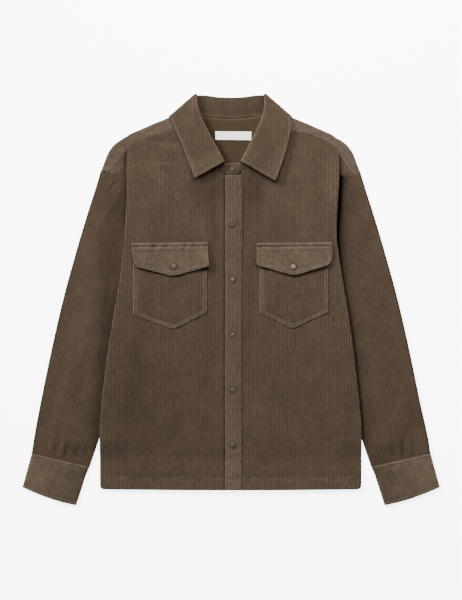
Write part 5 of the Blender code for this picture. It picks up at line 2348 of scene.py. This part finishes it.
def wale_lines() -> Tree:
    """Ribs of pile along the grain that wander and fade in patches.

    Returns:
        The effect's nodes.
    """
    kinds = {"Grain": VECTOR, "Per metre": FLOAT, "Clear": FLOAT}
    wiring, given, end = new_group("wale lines", kinds, ("Pile", "Clear"))
    grain = given["Grain"]
    slow = wiring.noise(wiring.stretched(grain, (1.0, 0.35, 1.0)), 60.0, 2.0)
    quick = wiring.noise(wiring.stretched(grain, (1.0, 0.3, 1.0)), 420.0, 1.0)
    parts = wiring.add("ShaderNodeSeparateXYZ", {0: grain})
    moved = wiring.line(quick, 0.0007, wiring.line(slow, 0.0035, parts.outputs[0]))
    turns = wiring.times(moved, given["Per metre"])
    wave = wiring.math("COSINE", wiring.times(turns, 2.0 * math.pi))
    rib = wiring.math("POWER", wiring.line(wave, 0.5, 0.5), 0.62)
    patch = wiring.noise(wiring.stretched(grain, (1.0, 0.5, 1.0)), 38.0, 3.0, 0.6)
    clear = wiring.times(wiring.span(patch, 0.34, 0.62, 0.45, 1.0), given["Clear"])
    whole = wiring.math("SUBTRACT", 1.0, clear)
    pile = wiring.math("ADD", wiring.times(rib, clear), wiring.times(whole, 0.62))
    wiring.fill(end, {"Pile": pile, "Clear": clear})
    return wiring.tree


def nap_patches() -> Tree:
    """How the pile lies: broad patches, short streaks and single fibres.

    Returns:
        The effect's nodes.
    """
    wiring, given, end = new_group("nap", {"Grain": VECTOR}, ("Broad", "Blotch", "Streak", "Fibre"))
    grain = given["Grain"]
    broad = wiring.noise(grain, 26.0, 4.0, 0.62)
    blotch = wiring.noise(grain, 105.0, 3.0, 0.6)
    streak = wiring.noise(wiring.stretched(grain, (1.0, 0.28, 1.0)), 330.0, 3.0, 0.6)
    wiring.fill(end, {
        "Broad": wiring.span(broad, 0.3, 0.7, 0.0, 1.0),
        "Blotch": wiring.span(blotch, 0.3, 0.7, 0.0, 1.0),
        "Streak": wiring.span(streak, 0.28, 0.72, 0.0, 1.0),
        "Fibre": wiring.noise(wiring.stretched(grain, (1.0, 0.45, 1.0)), 1900.0, 2.0, 0.7),
    })
    return wiring.tree


def thread_twist() -> Tree:
    """The plies of a twisted thread.

    Returns:
        The effect's nodes.
    """
    wiring, given, end = new_group("thread twist", {"Place": VECTOR}, ("Ply",))
    parts = wiring.add("ShaderNodeSeparateXYZ", {0: given["Place"]})
    slant = wiring.math("ADD", parts.outputs[0], parts.outputs[1])
    wave = wiring.math("SINE", wiring.times(slant, 9000.0))
    wiring.fill(end, {"Ply": wiring.line(wave, 0.5, 0.5)})
    return wiring.tree


def tape_weave() -> Tree:
    """A fine plain weave.

    Returns:
        The effect's nodes.
    """
    wiring, given, end = new_group("tape weave", {"Grain": VECTOR}, ("Height",))
    parts = wiring.add("ShaderNodeSeparateXYZ", {0: given["Grain"]})
    warp = wiring.math("SINE", wiring.times(parts.outputs[0], 12500.0))
    weft = wiring.math("SINE", wiring.times(parts.outputs[1], 9500.0))
    wiring.fill(end, {"Height": wiring.line(wiring.times(warp, weft), 0.5, 0.5)})
    return wiring.tree


def metal_tarnish() -> Tree:
    """Dark film and fine scratches on plated metal.

    Returns:
        The effect's nodes.
    """
    wiring, given, end = new_group("tarnish", {"Place": VECTOR}, ("Film", "Scratch"))
    film = wiring.noise(given["Place"], 420.0, 4.0, 0.6)
    scratch = wiring.noise(wiring.stretched(given["Place"], (1.0, 6.0, 1.0)), 1500.0, 2.0, 0.7)
    wiring.fill(end, {"Film": wiring.span(film, 0.35, 0.7, 0.0, 1.0), "Scratch": scratch})
    return wiring.tree


@dataclass
class Effects:
    """Shader effects that the finishes share, each made once."""

    wales: Tree = field(default_factory=wale_lines)
    nap: Tree = field(default_factory=nap_patches)
    twist: Tree = field(default_factory=thread_twist)
    weave: Tree = field(default_factory=tape_weave)
    tarnish: Tree = field(default_factory=metal_tarnish)


def new_material(name: str) -> tuple[Material, Wiring, Node]:
    """Starts a material.

    Args:
        name: its name.

    Returns:
        The material, its wiring and its Principled node.
    """
    material = bpy.data.materials.new(name)
    material.use_nodes = True
    return material, Wiring(material.node_tree), material.node_tree.nodes["Principled BSDF"]


@dataclass(frozen=True)
class Corduroy:
    """Cotton corduroy, worn lighter along its edges, also lighter where light is painted and darker
    where shade is painted; colours are linear.
    """

    name: str = "corduroy"
    pile: Row = (0.0235, 0.0151, 0.0086, 1.0)
    valley: Row = (0.0130, 0.0082, 0.0046, 1.0)
    worn: Row = (0.0500, 0.0367, 0.0254, 1.0)
    wales_per_metre: float = 205.0
    clear: float = 1.0
    nap_depth: float = 0.15
    streak: float = 0.13
    mottle: float = 0.05
    wear_and_painted_shading: float = 1.0
    # how much darker the painted shade makes the cloth, where the wear and shading value is -1
    painted_shade_depth: float = 0.62
    darkest: float = 0.04
    bump: float = 0.5
    depth: float = 0.0007
    roughness: float = 0.92
    specular: float = 0.12
    sheen: float = 0.06

    def make(self, effects: Effects) -> Material:
        """Makes the material.

        Args:
            effects: the shared effects.

        Returns:
            The new material.
        """
        material, wiring, surface = new_material(self.name)
        grain, wear_and_painted_shading = wiring.grain(), wiring.wear_and_painted_shading()
        inputs = {"Grain": grain, "Per metre": self.wales_per_metre, "Clear": self.clear}
        pile = wiring.effect(effects.wales, inputs).outputs["Pile"]
        nap = wiring.effect(effects.nap, {"Grain": grain}).outputs
        colour = wiring.blend(wiring.span(pile, 0.05, 0.85, 0.0, 1.0), self.valley, self.pile)
        lie = wiring.about_one(nap["Broad"], 0.5 * self.nap_depth)
        streak = wiring.about_one(nap["Streak"], self.streak)
        fibre = wiring.span(nap["Fibre"], 0.3, 0.7, 0.86, 1.14)
        blotch = wiring.about_one(nap["Blotch"], self.mottle)
        tone = wiring.times(wiring.times(lie, streak), wiring.times(fibre, blotch))
        # painted shade: below zero the wear and shading value darkens the colour and weakens
        # specular and sheen
        painted_shade = wiring.line(wiring.math("MINIMUM", wear_and_painted_shading, 0.0), self.painted_shade_depth, 1.0)
        painted_shade = wiring.math("MAXIMUM", painted_shade, self.darkest)
        colour = wiring.toned(colour, wiring.times(tone, painted_shade))
        # above zero the value lightens the pile towards the worn colour, for real wear and for
        # painted light
        wear = wiring.times(wiring.line(nap["Streak"], 0.7, 0.25), wear_and_painted_shading)
        wear = wiring.times(wear, self.wear_and_painted_shading)
        high = wiring.times(wear, wiring.span(pile, 0.2, 0.9, 0.35, 1.0))
        height = wiring.line(nap["Fibre"], 0.22, wiring.line(nap["Streak"], 0.35, pile))
        wiring.fill(surface, {
            "Base Color": wiring.blend(high, colour, self.worn),
            "Roughness": self.roughness,
            "Specular IOR Level": wiring.times(painted_shade, self.specular),
            "Sheen Weight": wiring.times(painted_shade, self.sheen),
            "Sheen Roughness": 0.5,
            "Sheen Tint": (0.62, 0.50, 0.39, 1.0),
            "Normal": wiring.relief(self.bump, self.depth, height),
        })
        return material


@dataclass(frozen=True)
class PlainFacing:
    """The smooth inner side of the yoke."""

    name: str = "yoke inner side"
    base: Row = (0.0180, 0.0119, 0.0067, 1.0)
    dark: Row = (0.0140, 0.0091, 0.0050, 1.0)

    def make(self, effects: Effects) -> Material:
        """Makes the material.

        Args:
            effects: the shared effects.

        Returns:
            The new material.
        """
        material, wiring, surface = new_material(self.name)
        grain = wiring.grain()
        nap = wiring.effect(effects.nap, {"Grain": grain}).outputs
        fine = wiring.stretched(grain, (0.35, 0.35, 1.0))
        weave = wiring.effect(effects.weave, {"Grain": fine}).outputs["Height"]
        colour = wiring.blend(wiring.line(nap["Streak"], 0.5, 0.25), self.dark, self.base)
        wiring.fill(surface, {
            # the wear value brings painted light and painted shade into the facing
            "Base Color": wiring.toned(colour, wiring.line(wiring.wear_and_painted_shading(), 0.5, 1.0)),
            "Roughness": 0.92,
            "Specular IOR Level": 0.05,
            "Normal": wiring.relief(0.35, 0.0003, weave),
        })
        return material


@dataclass(frozen=True)
class SewingThread:
    """Matt spun thread."""

    name: str = "sewing thread"
    light: Row = (0.0352, 0.0254, 0.0176, 1.0)
    dark: Row = (0.0169, 0.0120, 0.0077, 1.0)

    def make(self, effects: Effects) -> Material:
        """Makes the material.

        Args:
            effects: the shared effects.

        Returns:
            The new material.
        """
        material, wiring, surface = new_material(self.name)
        ply = wiring.effect(effects.twist, {"Place": wiring.place()}).outputs["Ply"]
        wiring.fill(surface, {
            "Base Color": wiring.blend(ply, self.dark, self.light),
            "Roughness": 0.75,
            "Normal": wiring.relief(0.5, 0.0002, ply),
        })
        return material


@dataclass(frozen=True)
class LabelTape:
    """White woven tape."""

    name: str = "label tape"
    white: Row = (0.6900, 0.6450, 0.5900, 1.0)
    shade: Row = (0.2958, 0.2887, 0.2782, 1.0)

    def make(self, effects: Effects) -> Material:
        """Makes the material.

        Args:
            effects: the shared effects.

        Returns:
            The new material.
        """
        material, wiring, surface = new_material(self.name)
        weave = wiring.effect(effects.weave, {"Grain": wiring.grain()}).outputs["Height"]
        wiring.fill(surface, {
            "Base Color": wiring.blend(weave, self.shade, self.white),
            "Roughness": 0.6,
            "Normal": wiring.relief(0.4, 0.0002, weave),
        })
        return material


@dataclass(frozen=True)
class AntiqueNickel:
    """Plated metal with a dark film."""

    name: str = "antique nickel"
    bright: Row = (0.0620, 0.0485, 0.0360, 1.0)
    dull: Row = (0.0370, 0.0285, 0.0205, 1.0)

    def make(self, effects: Effects) -> Material:
        """Makes the material.

        Args:
            effects: the shared effects.

        Returns:
            The new material.
        """
        material, wiring, surface = new_material(self.name)
        tarnish = wiring.effect(effects.tarnish, {"Place": wiring.place()}).outputs
        wiring.fill(surface, {
            "Base Color": wiring.blend(tarnish["Film"], self.bright, self.dull),
            "Metallic": 1.0,
            "Roughness": wiring.span(tarnish["Film"], 0.0, 1.0, 0.56, 0.7),
            "Normal": wiring.relief(0.12, 0.0001, tarnish["Scratch"]),
        })
        return material


# ------------------------------------------------------------------ studio
@dataclass(frozen=True)
class SoftSun:
    """A distant broad light; its height is set by the third number."""

    name: str
    towards: Place
    power: float
    spread: float = 9.0

    def build(self) -> None:
        """Hangs the light."""
        data = bpy.data.lights.new(self.name, "SUN")
        data.energy = self.power
        data.angle = math.radians(self.spread)
        lamp = add_object(self.name, data)
        lamp.rotation_euler = Vector(self.towards).to_track_quat("Z", "Y").to_euler()


@dataclass(frozen=True)
class SoftLamp:
    """A square lamp that looks at the garment; metres and watts."""

    name: str
    place: Place
    width: float
    power: float

    def build(self) -> None:
        """Hangs the lamp."""
        data = bpy.data.lights.new(self.name, "AREA")
        data.shape = "SQUARE"
        data.size = self.width
        data.energy = self.power
        lamp = add_object(self.name, data)
        lamp.location = self.place
        lamp.rotation_euler = (-Vector(self.place)).to_track_quat("-Z", "Y").to_euler()


@dataclass
class Studio:
    """Pale floor, soft light and a camera straight above."""

    floor_colour: Row = (0.95, 0.95, 0.95, 1.0)
    floor_glow: float = 4.6
    world_light: float = 0.29
    camera_place: Place = (0.0011, -0.00095, 3.0)
    lens: float = 95.1
    lamps: tuple[SoftSun | SoftLamp, ...] = (
        SoftSun("key", (-0.82, 0.60, 0.56), 9.6),
        SoftLamp("top", (0.1, 1.25, 1.35), 1.2, 136.0),
        SoftLamp("fill", (1.5, -1.2, 2.4), 2.2, 10.0),
    )

    def floor(self) -> None:
        """Lays the floor just below the garment."""
        mesh = bpy.data.meshes.new("floor")
        reach, low = 30.0, -0.0004
        corners = [(x * reach, y * reach, low) for x, y in ((-1, -1), (1, -1), (1, 1), (-1, 1))]
        mesh.from_pydata(corners, [], [(0, 1, 2, 3)])
        material, wiring, surface = new_material("floor")
        wiring.fill(surface, {
            "Base Color": self.floor_colour,
            "Roughness": 0.9,
            "Emission Color": (1.0, 1.0, 1.0, 1.0),
            "Emission Strength": self.floor_glow,
        })
        mesh.materials.append(material)
        add_object("floor", mesh)

    def build(self) -> None:
        """Sets up the floor, the light and the camera."""
        self.floor()
        for lamp in self.lamps:
            lamp.build()
        world = bpy.data.worlds.new("studio")
        world.use_nodes = True
        sky = world.node_tree.nodes["Background"]
        sky.inputs["Color"].default_value = (1.0, 1.0, 1.0, 1.0)
        sky.inputs["Strength"].default_value = self.world_light
        bpy.context.scene.world = world
        data = bpy.data.cameras.new("camera")
        data.type = "PERSP"
        data.lens = self.lens
        camera = add_object("camera", data)
        camera.location = self.camera_place
        bpy.context.scene.camera = camera


# ------------------------------------------------------------------ the whole garment
SLEEVE_CREASES_RIGHT = (
    Crease((199, 263), (238, 190), 5, 2.2, 3),
    Crease((203, 240), (246, 178), 4, -1.8, 2),
    Crease((205, 205), (252, 120), 7, 1.8, 4),
    Crease((219, 60), (236, -40), 10, -2),
    Crease((228, 0), (248, -150), 8, -2.6, -3),
    Crease((246, 30), (276, -130), 13, 2, 5),
    Crease((290, 60), (318, -80), 10, -1.2, 3),
    Crease((268, -90), (284, -225), 8, -1.9, 4),
    Crease((300, -120), (336, -250), 12, 1.8, -5),
    Crease((282, -272), (294, -304), 4, -1.7),
    Crease((303, -268), (311, -306), 3.4, -1.8),
    Crease((322, -262), (329, -301), 3.6, -1.8),
    Crease((343, -266), (348, -297), 3.4, -1.5),
    Crease((312, -258), (321, -302), 4.5, 2.2),
    Crease((335, -258), (340, -299), 4, 1.9),
)
SLEEVE_CREASES_LEFT = (
    Crease((207, 258), (244, 192), 5, 2.2, 3),
    Crease((210, 232), (250, 168), 5, -1.9, 2),
    Crease((214, 190), (256, 112), 7, 1.7, 4),
    Crease((220, 70), (234, -30), 9, -2.4),
    Crease((226, 5), (250, -150), 9, -3.2, -4),
    Crease((244, 20), (274, -120), 12, 2.2, 5),
    Crease((296, 30), (322, -110), 10, -1.3, -3),
    Crease((262, -110), (280, -230), 8, -2.1, -4),
    Crease((306, -140), (334, -252), 12, 1.7, 5),
    Crease((286, -270), (297, -304), 4, -1.6),
    Crease((306, -264), (314, -304), 3.6, -1.8),
    Crease((325, -268), (332, -300), 3.4, -1.7),
    Crease((346, -264), (350, -296), 3.4, -1.5),
    Crease((316, -260), (323, -302), 4, 2),
    Crease((336, -256), (342, -298), 4, 2),
)


@dataclass
class Overshirt:
    """The whole garment."""

    flap_snap_y: float = 62.0
    pocket_rise: float = 0.8
    pocket_cloth: float = 1.0
    flap_rise: float = 2.0 * LAY.step - 0.2

    def patches(self) -> list[Patch]:
        """The pockets and their flaps.

        Returns:
            Two pockets, then two flaps.
        """
        pocket_right = PatchShape(44.0, 184.0, 101.0, -24.5, 107.0, -57.5, outer_drop=4.5)
        pocket_left = PatchShape(55.5, 185.0, 101.0, -25.0, 116.4, -56.0)
        flap_right = PatchShape(
            39.6, 187.2, 107.0, 62.5, 107.2, 43.2,
            slope=-0.012, outer_round=(13.0, 10.0), inner_round=(2.0, 4.0), inner_lean=3.8,
            outer_lean=3.4,
        )
        flap_left = PatchShape(
            49.0, 190.0, 107.0, 65.0, 118.9, 44.2,
            slope=0.010, outer_round=(9.0, 8.0), inner_round=(3.0, 5.0), outer_bow=2.4,
        )
        pocket = {"rise": self.pocket_rise, "cloth": self.pocket_cloth, "ridge": 0.35}
        return [
            Patch(PatchKind.POCKET, "pocket_right", -1, pocket_right, **pocket),
            Patch(PatchKind.POCKET, "pocket_left", 1, pocket_left, **pocket),
            Patch(
                PatchKind.FLAP, "flap_right", -1, flap_right, self.flap_rise,
                edge_lift=0.9, inner_lift=4.4, snap_at=(107.2, self.flap_snap_y),
            ),
            Patch(
                PatchKind.FLAP, "flap_left", 1, flap_left, self.flap_rise,
                edge_lift=1.6, inner_lift=0.8, snap_at=(118.9, self.flap_snap_y),
            ),
        ]

    def build(self) -> None:
        """Makes every piece."""
        effects = Effects()
        corduroy = Corduroy().make(effects)
        brushed = Corduroy(
            "brushed corduroy", (0.0310, 0.0216, 0.0136, 1.0), (0.0262, 0.0182, 0.0112, 1.0),
            clear=0.0, nap_depth=0.34, streak=0.06, mottle=0.06, wear_and_painted_shading=0.6,
        ).make(effects)
        faint = Corduroy("brushed faint corduroy", clear=0.5).make(effects)
        worn = Corduroy(
            "worn corduroy", (0.0292, 0.0199, 0.0124, 1.0), (0.0200, 0.0133, 0.0081, 1.0),
            clear=0.5, mottle=0.13,
        ).make(effects)
        banded = Corduroy(
            "band corduroy", (0.0255, 0.0169, 0.0102, 1.0), (0.0160, 0.0104, 0.0060, 1.0),
            clear=0.8, wear_and_painted_shading=0.7,
        ).make(effects)
        facing = PlainFacing().make(effects)
        dresser = Dresser(SewingThread().make(effects))
        tape = LabelTape().make(effects)
        metal = AntiqueNickel().make(effects)
        # a darker copy of the nickel, painted shade for the top two snaps
        nickel_in_painted_shade = AntiqueNickel(
            "nickel in painted shade", (0.0440, 0.0340, 0.0250, 1.0), (0.0180, 0.0140, 0.0100, 1.0)
        ).make(effects)
        # a brighter copy of the nickel, painted light for the one snap that catches the light
        nickel_with_painted_light = AntiqueNickel(
            "nickel with painted light", (0.1250, 0.1040, 0.0840, 1.0), (0.0680, 0.0560, 0.0450, 1.0)
        ).make(effects)
        BackPanel().build(dresser, corduroy)
        FrontPanel("front_right", -1).build(dresser, corduroy)
        FrontPanel("front_left", 1).build(dresser, corduroy)
        FrontBand().build(dresser, banded)
        Yoke().build(dresser, worn, facing)
        Sleeve(
            "sleeve_right", -1, creases=SLEEVE_CREASES_RIGHT, shades=SLEEVE_SHADES_RIGHT
        ).build(dresser, faint)
        Sleeve(
            "sleeve_left", 1, flare=2.6, creases=SLEEVE_CREASES_LEFT, shades=SLEEVE_SHADES_LEFT
        ).build(dresser, faint)
        Cuff("cuff_right", -1).build(dresser, brushed)
        Cuff("cuff_left", 1, flare=2.8).build(dresser, brushed)
        Collar().build(dresser, faint)
        for patch in self.patches():
            patch.build(dresser, worn if patch.kind is PatchKind.FLAP else corduroy)
        for name in SNAPS:
            # the top two snaps take the darker copy as painted shade
            Snap(name).build(nickel_in_painted_shade if name in SNAPS[:2] else metal)
        Snap("snap_flap_right").build(metal)
        # painted light: the left flap's snap takes the brighter copy
        Snap("snap_flap_left").build(nickel_with_painted_light)
        NeckLabel().build(dresser, tape)


def main() -> None:
    """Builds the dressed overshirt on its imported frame."""
    logging.basicConfig(level=logging.INFO, format="%(message)s")
    Overshirt().build()
    Studio().build()
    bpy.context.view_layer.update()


if __name__ == "__main__":
    main()
